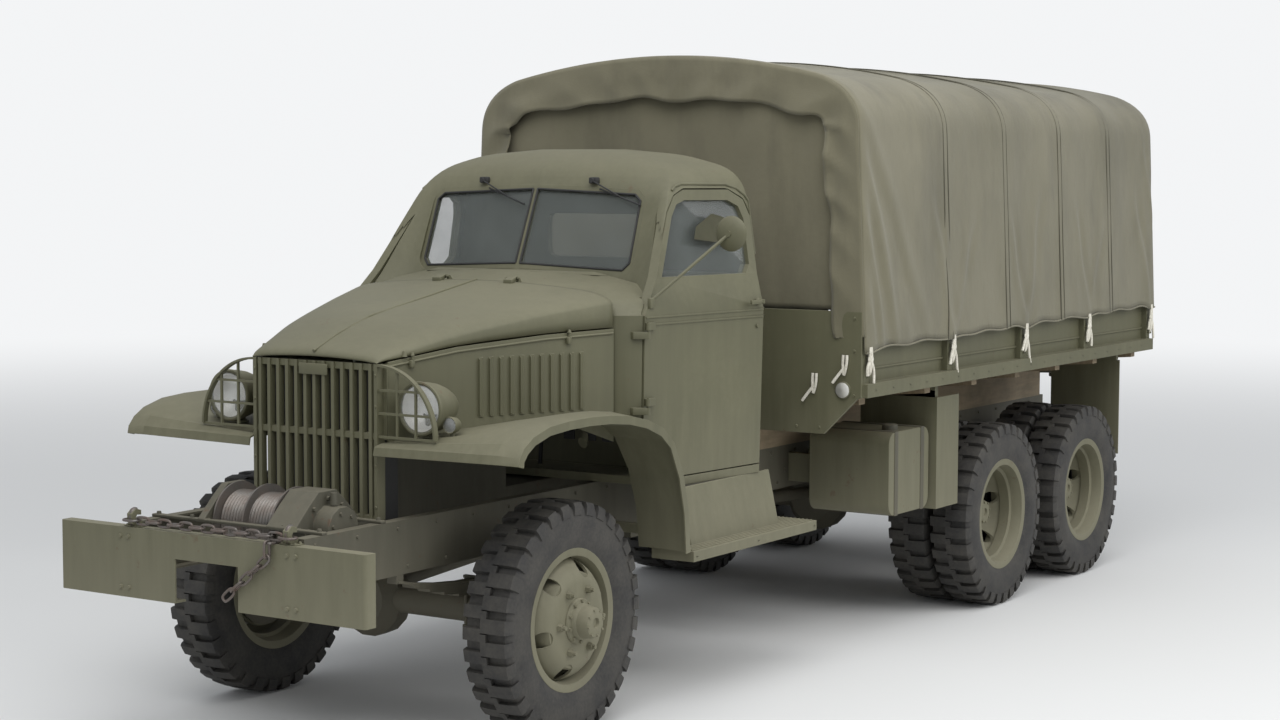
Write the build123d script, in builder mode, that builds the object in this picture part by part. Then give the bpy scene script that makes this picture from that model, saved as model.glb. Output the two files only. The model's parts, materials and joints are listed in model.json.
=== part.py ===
from build123d import *
import math
import os

os.makedirs("parts", exist_ok=True)

# Six-wheel-drive military cargo truck with a closed cab, a winch and a canvas cover.
# Millimetres. The truck faces -Y, +X is its own left side, +Z is up, the ground is z = 0.
# The origin is on the ground at the middle of the truck's box.

# Driving sizes of the whole truck
overall_width = 2235.0
overall_height = 2794.0
front_overhang = 1156.0  # bumper's face to the front axle
wheelbase = 3607.0  # front axle to the first rear axle
bogie_spacing = 1118.0
rear_overhang = 979.0  # last axle to the tailgate's outer face
hook_x = 391.0  # tow hooks
link_wire = 10.0
link_half_width = 19.0
link_total = 13
ring_half_length = 30.0
link_pitch = 2 * (hook_x - ring_half_length) / link_total
tail_lead = 10.0  # the chain's laid link has its middle this far behind the bumper's face
tail_reach = link_pitch / 2 + link_wire / 2  # from there forward to the middle of the hanging links
chain_proud = tail_reach - tail_lead + link_half_width

overall_length = chain_proud + front_overhang + wheelbase + bogie_spacing + rear_overhang
y_front_axle = -overall_length / 2 + chain_proud + front_overhang

# Clearances
seat_gap = 0.3  # between neighbours on different bodies that never touch
running_gap = 6.0  # between a moving piece and what it passes
pin_gap = 0.3  # round a pin or a shaft in its hole
panel_gap = 6.0  # round a door or a lid


def aft(distance):
    """The y of a place this far behind the front axle."""
    return y_front_axle + distance


def side_plate(outline, x_from, x_to):
    """A solid with a side outline of (y, z) points, between two x places."""
    with BuildPart() as plate:
        with BuildSketch(Plane.YZ.offset(min(x_from, x_to))):
            with BuildLine():
                Polyline(*outline, close=True)
            make_face()
        extrude(amount=abs(x_to - x_from))
    return plate.part


def front_plate(outline, y_from, y_to):
    """A solid with a front outline of (x, z) points, between two y places."""
    with BuildPart() as plate:
        with BuildSketch(Plane.XZ.offset(-max(y_from, y_to))):
            with BuildLine():
                Polyline(*outline, close=True)
            make_face()
        extrude(amount=abs(y_to - y_from))
    return plate.part


def plan_plate(outline, z_from, z_to):
    """A solid with a plan outline of (x, y) points, between two heights."""
    with BuildPart() as plate:
        with BuildSketch(Plane.XY.offset(min(z_from, z_to))):
            with BuildLine():
                Polyline(*outline, close=True)
            make_face()
        extrude(amount=abs(z_to - z_from))
    return plate.part


def block(x_from, x_to, y_from, y_to, z_from, z_to):
    """A rectangular solid between two corners."""
    with BuildPart() as solid:
        with BuildSketch(Plane.XY.offset(z_from)):
            with Locations(((x_from + x_to) / 2, (y_from + y_to) / 2)):
                Rectangle(abs(x_to - x_from), abs(y_to - y_from))
        extrude(amount=z_to - z_from)
    return solid.part


def rod(start, end, radius):
    """A round bar between two points."""
    axis = Vector(*end) - Vector(*start)
    with BuildPart() as bar:
        with BuildSketch(Plane(origin=start, z_dir=axis.normalized())):
            Circle(radius)
        extrude(amount=axis.length)
    return bar.part


def flat_bar(start, end, side):
    """A square bar between two points."""
    axis = Vector(*end) - Vector(*start)
    with BuildPart() as bar:
        with BuildSketch(Plane(origin=start, z_dir=axis.normalized())):
            Rectangle(side, side)
        extrude(amount=axis.length)
    return bar.part


def many_sided(x_from, x_to, centre_y, centre_z, radius, sides):
    """A many-sided disc across the truck with a flat at its bottom."""
    with BuildPart() as disc:
        with BuildSketch(Plane(origin=(x_from, centre_y, centre_z), x_dir=(0, 1, 0), z_dir=(1, 0, 0))):
            RegularPolygon(radius, sides, rotation=180 / sides - 90)
        extrude(amount=x_to - x_from)
    return disc.part


def flat_faces(corners):
    """One face through four corners that lie flat, or else two with three corners each."""
    kept = []
    for corner in corners:
        if all((corner - other).length > 0.001 for other in kept):
            kept.append(corner)
    if len(kept) < 3:
        return []
    if len(kept) == 4:
        normal = (kept[1] - kept[0]).cross(kept[2] - kept[0]).normalized()
        if abs(normal.dot(kept[3] - kept[0])) > 0.0005:
            if (kept[0] - kept[2]).length > (kept[1] - kept[3]).length:
                kept = kept[1:] + kept[:1]
            return [Face(Wire.make_polygon(half)) for half in (kept[:3], [kept[0], *kept[2:]])]
    return [Face(Wire.make_polygon(kept))]


def faceted(rings):
    """A solid with flat faces through rings that have the same number of corners."""
    placed = [[Vector(*corner) for corner in ring] for ring in rings]
    faces = [Face(Wire.make_polygon(placed[0])), Face(Wire.make_polygon(placed[-1]))]
    for lower, upper in zip(placed, placed[1:]):
        for index, corner in enumerate(lower):
            following = (index + 1) % len(lower)
            faces.extend(flat_faces((corner, lower[following], upper[following], upper[index])))
    with BuildPart() as form:
        add(Solid(Shell(faces)))
    return form.part


def polygon_points(radius, sides):
    """Corners of a regular polygon with a flat at its bottom."""
    turns = [math.pi * (1 - sides / 2 + 2 * index) / sides for index in range(sides)]
    return [(radius * math.cos(turn), radius * math.sin(turn)) for turn in turns]


def turned_stack(sections, centre_y, centre_z, sides):
    """A many-sided turned solid across the truck through (x, radius) sections."""
    return faceted([
        [(x_place, centre_y + along, centre_z + up) for along, up in polygon_points(radius, sides)]
        for x_place, radius in sections
    ])


def turned_along(sections, centre_x, centre_z, sides):
    """A many-sided turned solid along the truck through (y, radius) sections."""
    return faceted([
        [(centre_x + across, y_place, centre_z + up) for across, up in polygon_points(radius, sides)]
        for y_place, radius in sections
    ])


def drawn_in(points, inset):
    """A closed outline's points moved to its inside by an inset, listed counter-clockwise."""
    moved = []
    for before, point, after in zip(points[-1:] + points[:-1], points, points[1:] + points[:1]):
        first = Vector(point[0] - before[0], point[1] - before[1]).normalized()
        second = Vector(after[0] - point[0], after[1] - point[1]).normalized()
        share = inset / (1 + first.dot(second))
        moved.append((point[0] - (first.Y + second.Y) * share, point[1] + (first.X + second.X) * share))
    return moved


# Tyres and wheels
tyre_radius = 472.0  # over the lugs, and the height of every axle
tyre_width = 215.0
tread_width = 196.0
tyre_root_radius = 452.0
tyre_shoulder_radius = 440.0
tyre_bulge_radius = 360.0
bead_width = 168.0
bead_radius = 292.0
rim_seat_radius = 256.0
rim_width = 184.0
rim_flange_radius = 286.0
rim_wall = 8.0
lug_count = 18
lug_tip_share = 0.54  # part of the pitch that a lug's tip takes
lug_root_share = 0.68
wheel_sides = 20
disc_offset = 118.0  # tyre's middle to the face that bolts to the hub or the twin
disc_thickness = 10.0
disc_inner_radius = 168.0
disc_outer_radius = 247.0
disc_rim_offset = 30.0  # tyre's middle to where the disc meets the rim
hand_hole_count = 6
hand_hole_radius = 34.0
hand_hole_circle = 207.0

front_tyre_x = 765.0
twin_outer_x = 990.0
twin_spacing = 2 * disc_offset
twin_inner_x = twin_outer_x - twin_spacing

axle_z = tyre_radius
axle_tube_radius = 60.0
mid_axle_y = aft(wheelbase)
rear_axle_y = aft(wheelbase + bogie_spacing)
bogie_y = aft(wheelbase + bogie_spacing / 2)


def lug_outline(centre_y, centre_z):
    """The tread's side outline, a flat of one lug at the very bottom."""
    pitch = 2 * math.pi / lug_count
    tip_half = pitch * lug_tip_share / 2
    root_half = pitch * lug_root_share / 2
    tip_radius = tyre_radius / math.cos(tip_half)
    points = []
    for index in range(lug_count):
        middle = -math.pi / 2 + index * pitch
        for radius, turn in (
            (tyre_root_radius, -root_half),
            (tip_radius, -tip_half),
            (tip_radius, tip_half),
            (tyre_root_radius, root_half),
        ):
            angle = middle + turn
            points.append((centre_y + radius * math.cos(angle), centre_z + radius * math.sin(angle)))
    return points


def tyre(centre_x, centre_y, centre_z=axle_z, lugged=True):
    """A tyre as a many-sided body with bulging walls and, if lugged, tread bars."""
    half_tread = tread_width / 2
    half_bulge = tyre_width / 2
    half_bead = bead_width / 2
    bulge_radius = tyre_bulge_radius if lugged else tyre_bulge_radius + 40
    crown_radius = tyre_shoulder_radius if lugged else tyre_radius / math.cos(math.pi / lug_count / 2)
    walls = [
        (centre_x - half_bead, bead_radius),
        (centre_x - half_bulge, bulge_radius),
        (centre_x - half_tread, crown_radius),
        (centre_x + half_tread, crown_radius),
        (centre_x + half_bulge, bulge_radius),
        (centre_x + half_bead, bead_radius),
    ]
    body = turned_stack(walls, centre_y, centre_z, lug_count)
    if lugged:
        tread = side_plate(lug_outline(centre_y, centre_z), centre_x - half_tread, centre_x + half_tread)
        inside = many_sided(centre_x - half_tread, centre_x + half_tread, centre_y, centre_z,
                            tyre_shoulder_radius - 20, lug_count)
        body = body + (tread - inside)
    bore_radius = (rim_seat_radius + seat_gap) / math.cos(math.pi / lug_count)
    bore = many_sided(centre_x - half_bulge, centre_x + half_bulge, centre_y, centre_z, bore_radius, lug_count)
    return body - bore


def rim_and_disc(centre_x, centre_y, outward, centre_z=axle_z, holes=True):
    """A pressed steel wheel: rim with two flanges, dished disc with hand holes."""
    half_rim = rim_width / 2
    flange = (rim_width - bead_width) / 2 - seat_gap
    inner_radius = rim_seat_radius - rim_wall
    face_x = centre_x + outward * disc_offset
    back_x = face_x - outward * disc_thickness
    meet_x = centre_x + outward * disc_rim_offset
    with BuildPart() as wheel:
        add(many_sided(centre_x - half_rim, centre_x + half_rim, centre_y, centre_z, rim_seat_radius, wheel_sides))
        for end_x in (centre_x - half_rim, centre_x + half_rim - flange):
            add(many_sided(end_x, end_x + flange, centre_y, centre_z, rim_flange_radius, wheel_sides))
        bore_from = centre_x - half_rim
        bore_to = centre_x + half_rim
        bore = many_sided(bore_from, bore_to, centre_y, centre_z, inner_radius, wheel_sides)
        add(bore, mode=Mode.SUBTRACT)
        outer_cone = [
            (meet_x - outward * disc_thickness, disc_outer_radius + 3),
            (meet_x, disc_outer_radius + 3),
            (face_x, disc_inner_radius),
        ]
        inner_cone = [
            (meet_x - outward * disc_thickness, disc_outer_radius - 9),
            (back_x, disc_inner_radius - 8),
        ]
        add(turned_stack(outer_cone, centre_y, centre_z, wheel_sides))
        add(turned_stack(inner_cone, centre_y, centre_z, wheel_sides), mode=Mode.SUBTRACT)
        if holes:
            with BuildSketch(Plane(origin=(centre_x, centre_y, centre_z), x_dir=(0, 1, 0), z_dir=(1, 0, 0))):
                with PolarLocations(hand_hole_circle, hand_hole_count):
                    RegularPolygon(hand_hole_radius, 8)
            extrude(amount=outward * disc_offset, mode=Mode.SUBTRACT)
    return wheel.part


# Hubs, drums and spindles
hub_radius = 92.0
spindle_radius = 38.0
hub_bore_radius = spindle_radius + pin_gap
drum_radius = 195.0
drum_wall = 14.0
backing_radius = 190.0
backing_thickness = 10.0
cap_radius = 72.0
cap_tip_radius = 55.0
hub_tip_x = 967.0
twin_hub_tip_x = 985.0


def hub_and_drum(centre_y, face_x, drum_from, tip_x):
    """Hub, brake drum and cap of a left wheel; face_x is the face that takes the disc."""
    cap_from = face_x - 8
    with BuildPart() as hub:
        add(many_sided(drum_from, face_x - disc_thickness, centre_y, axle_z, drum_radius, wheel_sides))
        drum_inside = drum_radius - drum_wall
        hollow_to = face_x - 2 * disc_thickness
        add(many_sided(drum_from, hollow_to, centre_y, axle_z, drum_inside, wheel_sides), mode=Mode.SUBTRACT)
        add(many_sided(drum_from + 4, face_x, centre_y, axle_z, hub_radius, wheel_sides))
        add(rod((drum_from, centre_y, axle_z), (cap_from, centre_y, axle_z), hub_bore_radius), mode=Mode.SUBTRACT)
        add(turned_stack([(cap_from, cap_radius), (tip_x - 20, cap_radius), (tip_x, cap_tip_radius)],
                         centre_y, axle_z, wheel_sides))
    return hub.part


# Frame
rail_outer_x = 430.0
rail_flange = 50.0
rail_wall = 8.0
rail_bottom = 690.0
rail_top = 900.0
rail_front_y = aft(-1098)
rail_rear_y = aft(5640)
cross_member_depth = 60.0
cross_member_inset = 12.0
# Distances behind the front axle
cross_member_places = (-590.0, 1960.0, 2960.0, 4136.0, 5580.0)
low_member_place = 1180.0  # a shallow one under the gearbox's shaft
low_member_top = 728.0
pintle_z = 800.0


def channel_rail(side):
    """One side rail, a channel open to the middle of the truck."""
    outer = side * rail_outer_x
    inner = side * (rail_outer_x - rail_flange)
    web = side * (rail_outer_x - rail_wall)
    outline = (
        (outer, rail_bottom),
        (inner, rail_bottom),
        (inner, rail_bottom + rail_wall),
        (web, rail_bottom + rail_wall),
        (web, rail_top - rail_wall),
        (inner, rail_top - rail_wall),
        (inner, rail_top),
        (outer, rail_top),
    )
    return front_plate(outline, rail_front_y, rail_rear_y)


with BuildPart() as frame:
    add(channel_rail(1))
    add(channel_rail(-1))
    for place in cross_member_places:
        member_bottom = rail_bottom + cross_member_inset
        member_top = rail_top - cross_member_inset
        member = side_plate(
            (
                (aft(place), member_bottom),
                (aft(place + cross_member_depth), member_bottom),
                (aft(place + cross_member_depth), member_bottom + rail_wall),
                (aft(place + rail_wall), member_bottom + rail_wall),
                (aft(place + rail_wall), member_top - rail_wall),
                (aft(place + cross_member_depth), member_top - rail_wall),
                (aft(place + cross_member_depth), member_top),
                (aft(place), member_top),
            ),
            -rail_outer_x + rail_wall,
            rail_outer_x - rail_wall,
        )
        add(member)
    add(block(-rail_outer_x + rail_wall, rail_outer_x - rail_wall, aft(low_member_place),
              aft(low_member_place + cross_member_depth), rail_bottom + rail_wall, low_member_top))
    # Rear cross beam and pintle hook
    add(block(-rail_outer_x, rail_outer_x, rail_rear_y, rail_rear_y + rail_wall, rail_bottom, rail_top))
    add(block(-55, 55, rail_rear_y + rail_wall, rail_rear_y + 20, pintle_z - 55, pintle_z + 55))
    add(block(-22, 22, rail_rear_y + 20, aft(wheelbase + bogie_spacing + rear_overhang) - 4, pintle_z - 38,
              pintle_z + 38))
frame.part.label = "frame"
export_step(frame.part, "parts/frame.step")

# Front bumper: a channel with a notch for the winch rope, and two tow hooks on it
bumper_half_width = 763.0
bumper_bottom = 612.0
bumper_top = 881.0
bumper_depth = 58.0
bumper_wall = 8.0
bumper_corner = 15.0
notch_half_width = 158.0
notch_top = 781.0
hook_thickness = 26.0
bumper_front_y = aft(-front_overhang)
bumper_back_y = bumper_front_y + bumper_depth

with BuildPart() as front_bumper:
    with BuildSketch(Plane.XY.offset(bumper_bottom)) as bumper_plan:
        with Locations((0, (bumper_front_y + bumper_back_y) / 2)):
            Rectangle(2 * bumper_half_width, bumper_depth)
        fillet(bumper_plan.vertices().group_by(Axis.Y)[0], radius=bumper_corner)
    extrude(amount=bumper_top - bumper_bottom)
    inside = block(
        -bumper_half_width + bumper_wall, bumper_half_width - bumper_wall, bumper_front_y + bumper_wall,
        bumper_back_y, bumper_bottom + bumper_wall, bumper_top - bumper_wall,
    )
    add(inside, mode=Mode.SUBTRACT)
    notch = block(
        -notch_half_width, notch_half_width, bumper_front_y, bumper_back_y, bumper_bottom, notch_top,
    )
    add(notch, mode=Mode.SUBTRACT)
    hook_outline = (
        (bumper_back_y - 2, bumper_top),
        (bumper_front_y + 22, bumper_top),
        (bumper_front_y + 2, bumper_top + 18),
        (bumper_front_y, bumper_top + 52),
        (bumper_front_y + 22, bumper_top + 70),
        (bumper_front_y + 50, bumper_top + 62),
        (bumper_front_y + 50, bumper_top + 44),
        (bumper_front_y + 28, bumper_top + 46),
        (bumper_front_y + 22, bumper_top + 34),
        (bumper_front_y + 32, bumper_top + 22),
        (bumper_back_y - 2, bumper_top + 20),
    )
    for side in (-1, 1):
        add(side_plate(hook_outline, side * hook_x - hook_thickness / 2, side * hook_x + hook_thickness / 2))
front_bumper.part.label = "front_bumper"
export_step(front_bumper.part, "parts/front_bumper.step")

# Tow chain: a ring on each hook, a taut run between them, and a tail laid over the bumper's edge
ring_half_width = 18.0
link_bite = 0.4  # neighbouring links press into each other by this much
tail_x = 322.0
tail_slope = Vector(-0.78, 0, -0.626)
ring_y = bumper_front_y + 13
chain_z = bumper_top + 27


def chain_link(centre, along, across, half_inside=link_pitch / 2, half_width=link_half_width):
    """One link, a flat ring lying along one direction."""
    half_length = half_inside + link_wire
    bend = half_width * 0.55
    with BuildPart() as link:
        with BuildSketch(Plane(origin=centre, x_dir=along, z_dir=across)):
            with BuildLine():
                Polyline(
                    (-half_length, -half_width + bend), (-half_length + bend, -half_width),
                    (half_length - bend, -half_width), (half_length, -half_width + bend),
                    (half_length, half_width - bend), (half_length - bend, half_width),
                    (-half_length + bend, half_width), (-half_length, half_width - bend), close=True,
                )
            make_face()
            Rectangle(2 * half_inside, 2 * (half_width - link_wire), mode=Mode.SUBTRACT)
        extrude(amount=link_wire / 2, both=True)
    return link.part


across_x = Vector(1, 0, 0)
across_y = Vector(0, 1, 0)
across_z = Vector(0, 0, 1)
chain_links = []
for side in (-1, 1):
    ring_centre = Vector(side * hook_x, ring_y, chain_z)
    chain_links.append(chain_link(ring_centre, across_x, across_z, ring_half_length, ring_half_width + link_wire))
for index in range(link_total):
    middle = Vector(-hook_x + ring_half_length + (index + 0.5) * link_pitch, ring_y, chain_z)
    lie = across_y if index % 2 == 0 else across_z
    chain_links.append(chain_link(middle, across_x, lie, link_pitch / 2 - link_bite))
# The tail: direction of each link, the way it lies, half the depth of the bar it hangs on
tail_moves = (
    (Vector(0, 0, -1), across_x, link_wire / 2),
    (tail_slope, across_y, link_wire * 0.72),
    (tail_slope, tail_slope.cross(across_y), link_wire / 2),
    (tail_slope, across_y, link_wire / 2),
    (tail_slope, tail_slope.cross(across_y), link_wire / 2),
    (tail_slope, across_y, link_wire / 2),
)
laid = Vector(tail_x, bumper_front_y + tail_lead, bumper_top + link_wire / 2)
chain_links.append(chain_link(laid, across_y, across_z))
bar_centre = laid - across_y * (link_pitch / 2 + link_wire / 2)
for direction, lie, bar_half in tail_moves:
    middle = bar_centre + direction * (link_pitch / 2 - bar_half + link_bite)
    chain_links.append(chain_link(middle, direction, lie))
    bar_centre = middle + direction * (link_pitch / 2 + link_wire / 2)

with BuildPart() as tow_chain:
    for link in chain_links:
        add(link)
    add(front_bumper.part, mode=Mode.SUBTRACT)
tow_chain.part.label = "tow_chain"
export_step(tow_chain.part, "parts/tow_chain.step")

# Winch between the front ends of the rails
winch_y = aft(-815)
winch_z = 895.0
drum_half_length = 150.0
drum_flange_radius = 145.0
drum_flange_thickness = 8.0
drum_core_radius = 96.0
drum_shaft_radius = 24.0
drum_shaft_end = 186.0
winch_base_thickness = 12.0
case_half_depth = drum_flange_radius + 40

with BuildPart() as winch_drum:
    add(many_sided(-drum_half_length, drum_half_length, winch_y, winch_z, drum_core_radius, 20))
    for flange_x in (-drum_half_length, -drum_flange_thickness / 2, drum_half_length - drum_flange_thickness):
        add(many_sided(flange_x, flange_x + drum_flange_thickness, winch_y, winch_z, drum_flange_radius, 24))
    add(rod((-drum_shaft_end, winch_y, winch_z), (drum_shaft_end, winch_y, winch_z), drum_shaft_radius))
winch_drum.part.label = "winch_drum"
export_step(winch_drum.part, "parts/winch_drum.step")

with BuildPart() as winch_housing:
    for bar_y in (winch_y - case_half_depth, winch_y + case_half_depth - 30):
        add(block(-rail_outer_x, rail_outer_x, bar_y, bar_y + 30, rail_top, rail_top + winch_base_thickness))
    case_from = drum_half_length + running_gap
    foot_z = rail_top + winch_base_thickness
    case_outline = (
        (winch_y - case_half_depth, rail_top),
        (winch_y + case_half_depth, rail_top),
        (winch_y + case_half_depth, foot_z),
        (winch_y + 110, winch_z + 90),
        (winch_y + 50, winch_z + 141),
        (winch_y - 50, winch_z + 141),
        (winch_y - 110, winch_z + 90),
        (winch_y - case_half_depth, foot_z),
    )
    add(side_plate(case_outline, case_from, 300))
    add(many_sided(case_from, 300, winch_y, winch_z, 135, 12))
    add(many_sided(300, rail_outer_x - rail_flange - 4, winch_y, winch_z, 88, 12))
    add(side_plate(case_outline, -case_from - 34, -case_from))
    shaft_hole = rod((-260, winch_y, winch_z), (drum_shaft_end + running_gap, winch_y, winch_z),
                     drum_shaft_radius + pin_gap)
    add(shaft_hole, mode=Mode.SUBTRACT)
winch_housing.part.label = "winch_housing"
export_step(winch_housing.part, "parts/winch_housing.step")

# Radiator behind the grille
radiator_half_width = 300.0
radiator_bottom = 760.0
radiator_top = 1478.0
radiator_front_y = aft(-480)
radiator_depth = 84.0

with BuildPart() as radiator:
    add(block(-radiator_half_width, radiator_half_width, radiator_front_y, radiator_front_y + radiator_depth,
              radiator_bottom + 60, radiator_top - 80))
    for tank_from, tank_to in ((radiator_bottom, radiator_bottom + 60), (radiator_top - 80, radiator_top)):
        add(block(-radiator_half_width - 12, radiator_half_width + 12, radiator_front_y - 12,
                  radiator_front_y + radiator_depth + 12, tank_from, tank_to))
    add(block(-rail_outer_x + rail_wall, rail_outer_x - rail_wall, radiator_front_y,
              radiator_front_y + radiator_depth, radiator_bottom, radiator_bottom + 30))
radiator.part.label = "radiator"
export_step(radiator.part, "parts/radiator.step")

# Grille with its headlamp guards
grille_half_width = 317.0
grille_bottom = rail_top - cross_member_inset
grille_top = 1494.0
grille_front_y = aft(-543)
grille_back_y = aft(-496)
bar_count = 13
bar_pitch = 47.0
bar_width = 15.0
bar_depth = 30.0
grille_edge = 16.0
grille_flange_x = 334.0  # flange that takes the hood's side panels
grille_flange_bottom = 1200.0
strap_z = 1214.0
guard_outer_x = 596.0
guard_bottom_z = 1214.0
guard_wire = 9.0
guard_strap = 24.0

with BuildPart() as grille:
    with BuildSketch(Plane.XY.offset(grille_bottom)):
        with Locations((0, grille_front_y + bar_depth / 2)):
            with GridLocations(bar_pitch, 1, bar_count, 1):
                Rectangle(bar_width, bar_depth)
    extrude(amount=grille_top - grille_bottom)
    for side in (-1, 1):
        add(block(side * grille_half_width, side * (grille_half_width - grille_edge), grille_front_y,
                  grille_back_y, grille_bottom, grille_top))
    for rail_from, rail_to in (
        (grille_bottom, grille_bottom + grille_edge),
        (strap_z - 12, strap_z + 12),
        (grille_top - 26, grille_top),
    ):
        add(block(-grille_half_width, grille_half_width, grille_front_y + 8, grille_back_y, rail_from, rail_to))
    for side in (-1, 1):
        add(block(side * (grille_half_width - grille_edge), side * grille_flange_x, grille_back_y - 8,
                  grille_back_y, grille_flange_bottom, grille_top))
    arc_centre = (grille_half_width, guard_bottom_z)
    arc_radius = guard_outer_x - grille_half_width
    for side in (-1, 1):
        strap_y = grille_front_y + guard_strap
        with BuildSketch(Plane.XZ.offset(-strap_y)):
            with BuildLine():
                CenterArc((side * arc_centre[0], arc_centre[1]), arc_radius, 0 if side > 0 else 90, 90)
                Line((side * arc_centre[0], arc_centre[1] + arc_radius),
                     (side * arc_centre[0], arc_centre[1] + arc_radius - guard_wire))
                CenterArc((side * arc_centre[0], arc_centre[1]), arc_radius - guard_wire, 0 if side > 0 else 90, 90)
                Line((side * (arc_centre[0] + arc_radius), arc_centre[1]),
                     (side * (arc_centre[0] + arc_radius - guard_wire), arc_centre[1]))
            make_face()
        extrude(amount=guard_strap)
        near_x = side * (grille_half_width - 2)
        add(flat_bar((near_x, strap_y - 12, guard_bottom_z), (side * guard_outer_x, strap_y - 12, guard_bottom_z),
                     guard_wire))
        for wire_z in (guard_bottom_z + 90, guard_bottom_z + 180):
            reach = math.sqrt(arc_radius**2 - (wire_z - guard_bottom_z) ** 2) - 2
            add(flat_bar((near_x, strap_y - 12, wire_z),
                         (side * (grille_half_width + reach), strap_y - 12, wire_z), guard_wire))
        for wire_reach in (90, 180):
            wire_x = side * (grille_half_width + wire_reach)
            top_z = guard_bottom_z + math.sqrt(arc_radius**2 - wire_reach**2) - 2
            add(flat_bar((wire_x, strap_y - 12, guard_bottom_z), (wire_x, strap_y - 12, top_z), guard_wire))
grille.part.label = "grille"
export_step(grille.part, "parts/grille.step")

# Hood and its fixed sides. The plan of both narrows from the cowl to the grille.
nose_y = aft(-543)
hood_rear_y = aft(515)
nose_half_width = 318.0
hood_rear_half_width = 700.0
hood_wall = 8.0


def hood_half_width(place):
    """Half the width of the hood this far behind the front axle."""
    share = (place + 543) / (515 + 543)
    return nose_half_width + (hood_rear_half_width - nose_half_width) * share


# Hood sections: distance behind the front axle, lower edge z, shoulder z, crown z
hood_sections = (
    (-543.0, 1501.0, 1506.0, 1532.0),
    (-400.0, 1521.0, 1536.0, 1590.0),
    (-200.0, 1551.0, 1582.0, 1650.0),
    (200.0, 1582.0, 1650.0, 1718.0),
    (515.0, 1594.0, 1690.0, 1772.0),
)


def hood_form(inset, drop):
    """The hood as one solid, drawn in by inset at its sides and top and let down by drop."""
    rings = []
    for place, edge_z, shoulder_z, crown_z in hood_sections:
        half = hood_half_width(place) - inset
        shoulder = shoulder_z - inset
        rise = crown_z - inset - shoulder
        right = [(half, edge_z - drop), (half, shoulder)]
        right += [(half * share, shoulder + rise * (1 - 0.54 * share * share)) for share in (0.84, 0.56, 0.28)]
        left = [(-across, level) for across, level in right[::-1]]
        ring = right + [(0, shoulder + rise)] + left
        rings.append([(across, aft(place), level) for across, level in ring])
    return faceted(rings)


# Hood hinges at the cowl: places across the truck, pin's place and height
hood_hinge_x = 190.0
hood_pin_place = 518.0
hood_pin_z = 1782.0
hood_pin_radius = 3.5
hood_eye_radius = 8.0
hood_eye_half = 22.0
hood_ear = 14.0


def eye_plate(x_from, x_to, centre_y, centre_z, radius, foot):
    """A plate across X: a many-sided eye round a pin, joined to the points of its foot."""
    eye = many_sided(x_from, x_to, centre_y, centre_z, radius, 12)
    return eye + side_plate(foot, x_from, x_to)


hood_solid = hood_form(0, 0)
hood_hollow = hood_form(hood_wall, 5)
with BuildPart() as hood:
    add(hood_solid)
    add(hood_hollow, mode=Mode.SUBTRACT)
    # Nose lip that closes the front above the grille
    lip = block(-nose_half_width + 4, nose_half_width - 4, nose_y, nose_y + hood_wall, 1502, 1512)
    add(lip)
    hood_foot = (
        (aft(hood_pin_place), hood_pin_z - hood_eye_radius),
        (aft(hood_pin_place), hood_pin_z + hood_eye_radius),
        (aft(hood_pin_place - 40), hood_pin_z - 4),
        (aft(hood_pin_place - 40), hood_pin_z - 24),
        (aft(hood_pin_place - 4), hood_pin_z - 16),
    )
    for side in (-1, 1):
        middle_x = side * hood_hinge_x
        add(eye_plate(middle_x - hood_eye_half, middle_x + hood_eye_half, aft(hood_pin_place), hood_pin_z,
                      hood_eye_radius, hood_foot))
        add(rod((middle_x - 60, aft(hood_pin_place), hood_pin_z), (middle_x + 60, aft(hood_pin_place), hood_pin_z),
                hood_pin_radius + pin_gap), mode=Mode.SUBTRACT)
hood.part.label = "hood"
export_step(hood.part, "parts/hood.step")

side_wall = 10.0
side_front_y = -496.0
side_rear_y = 521.0
louvre_count = 11
louvre_bottom = 1262.0
louvre_top = 1500.0


def hood_side(side):
    """One fixed panel between the fender and the hood, with its louvres."""
    front_half = hood_half_width(side_front_y)
    rear_half = hood_half_width(side_rear_y)
    plan = (
        (side * front_half, aft(side_front_y)),
        (side * rear_half, aft(side_rear_y)),
        (side * (rear_half - side_wall), aft(side_rear_y)),
        (side * (front_half - side_wall), aft(side_front_y)),
    )
    outline = (
        (aft(side_front_y), 1165),
        (aft(55), 1175),
        (aft(330), 1195),
        (aft(side_rear_y), 1120),
        (aft(side_rear_y), 1594 - panel_gap),
        (aft(200), 1582 - panel_gap),
        (aft(-200), 1551 - panel_gap),
        (aft(-400), 1521 - panel_gap),
        (aft(side_front_y), 1506 - panel_gap),
    )
    with BuildPart() as panel:
        add(plan_plate(plan, 1100, 1620))
        add(side_plate(outline, side * 200, side * 800), mode=Mode.INTERSECT)
    return panel.part


with BuildPart() as hood_sides:
    for side in (-1, 1):
        add(hood_side(side))
        for index in range(louvre_count):
            place = -105 + index * 46.2
            louvre_x = hood_half_width(place)
            tip = 12
            ridge = (
                (side * (louvre_x - 4), aft(place - 10)),
                (side * (louvre_x + tip), aft(place + 12)),
                (side * (louvre_x + 6), aft(place + 22)),
            )
            add(plan_plate(ridge, louvre_bottom, louvre_top))
hood_sides.part.label = "hood_sides"
export_step(hood_sides.part, "parts/hood_sides.step")

# Front fenders: an arch of sheet that falls towards the hood, with a turned-down lip outside
fender_outer_x = 1000.0
fender_crown_x = 900.0
fender_inner_x = 300.0
fender_sheet = 8.0
fender_lip = 34.0
lip_drop = 12.0  # the outer edge lies this far below the crown
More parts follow.
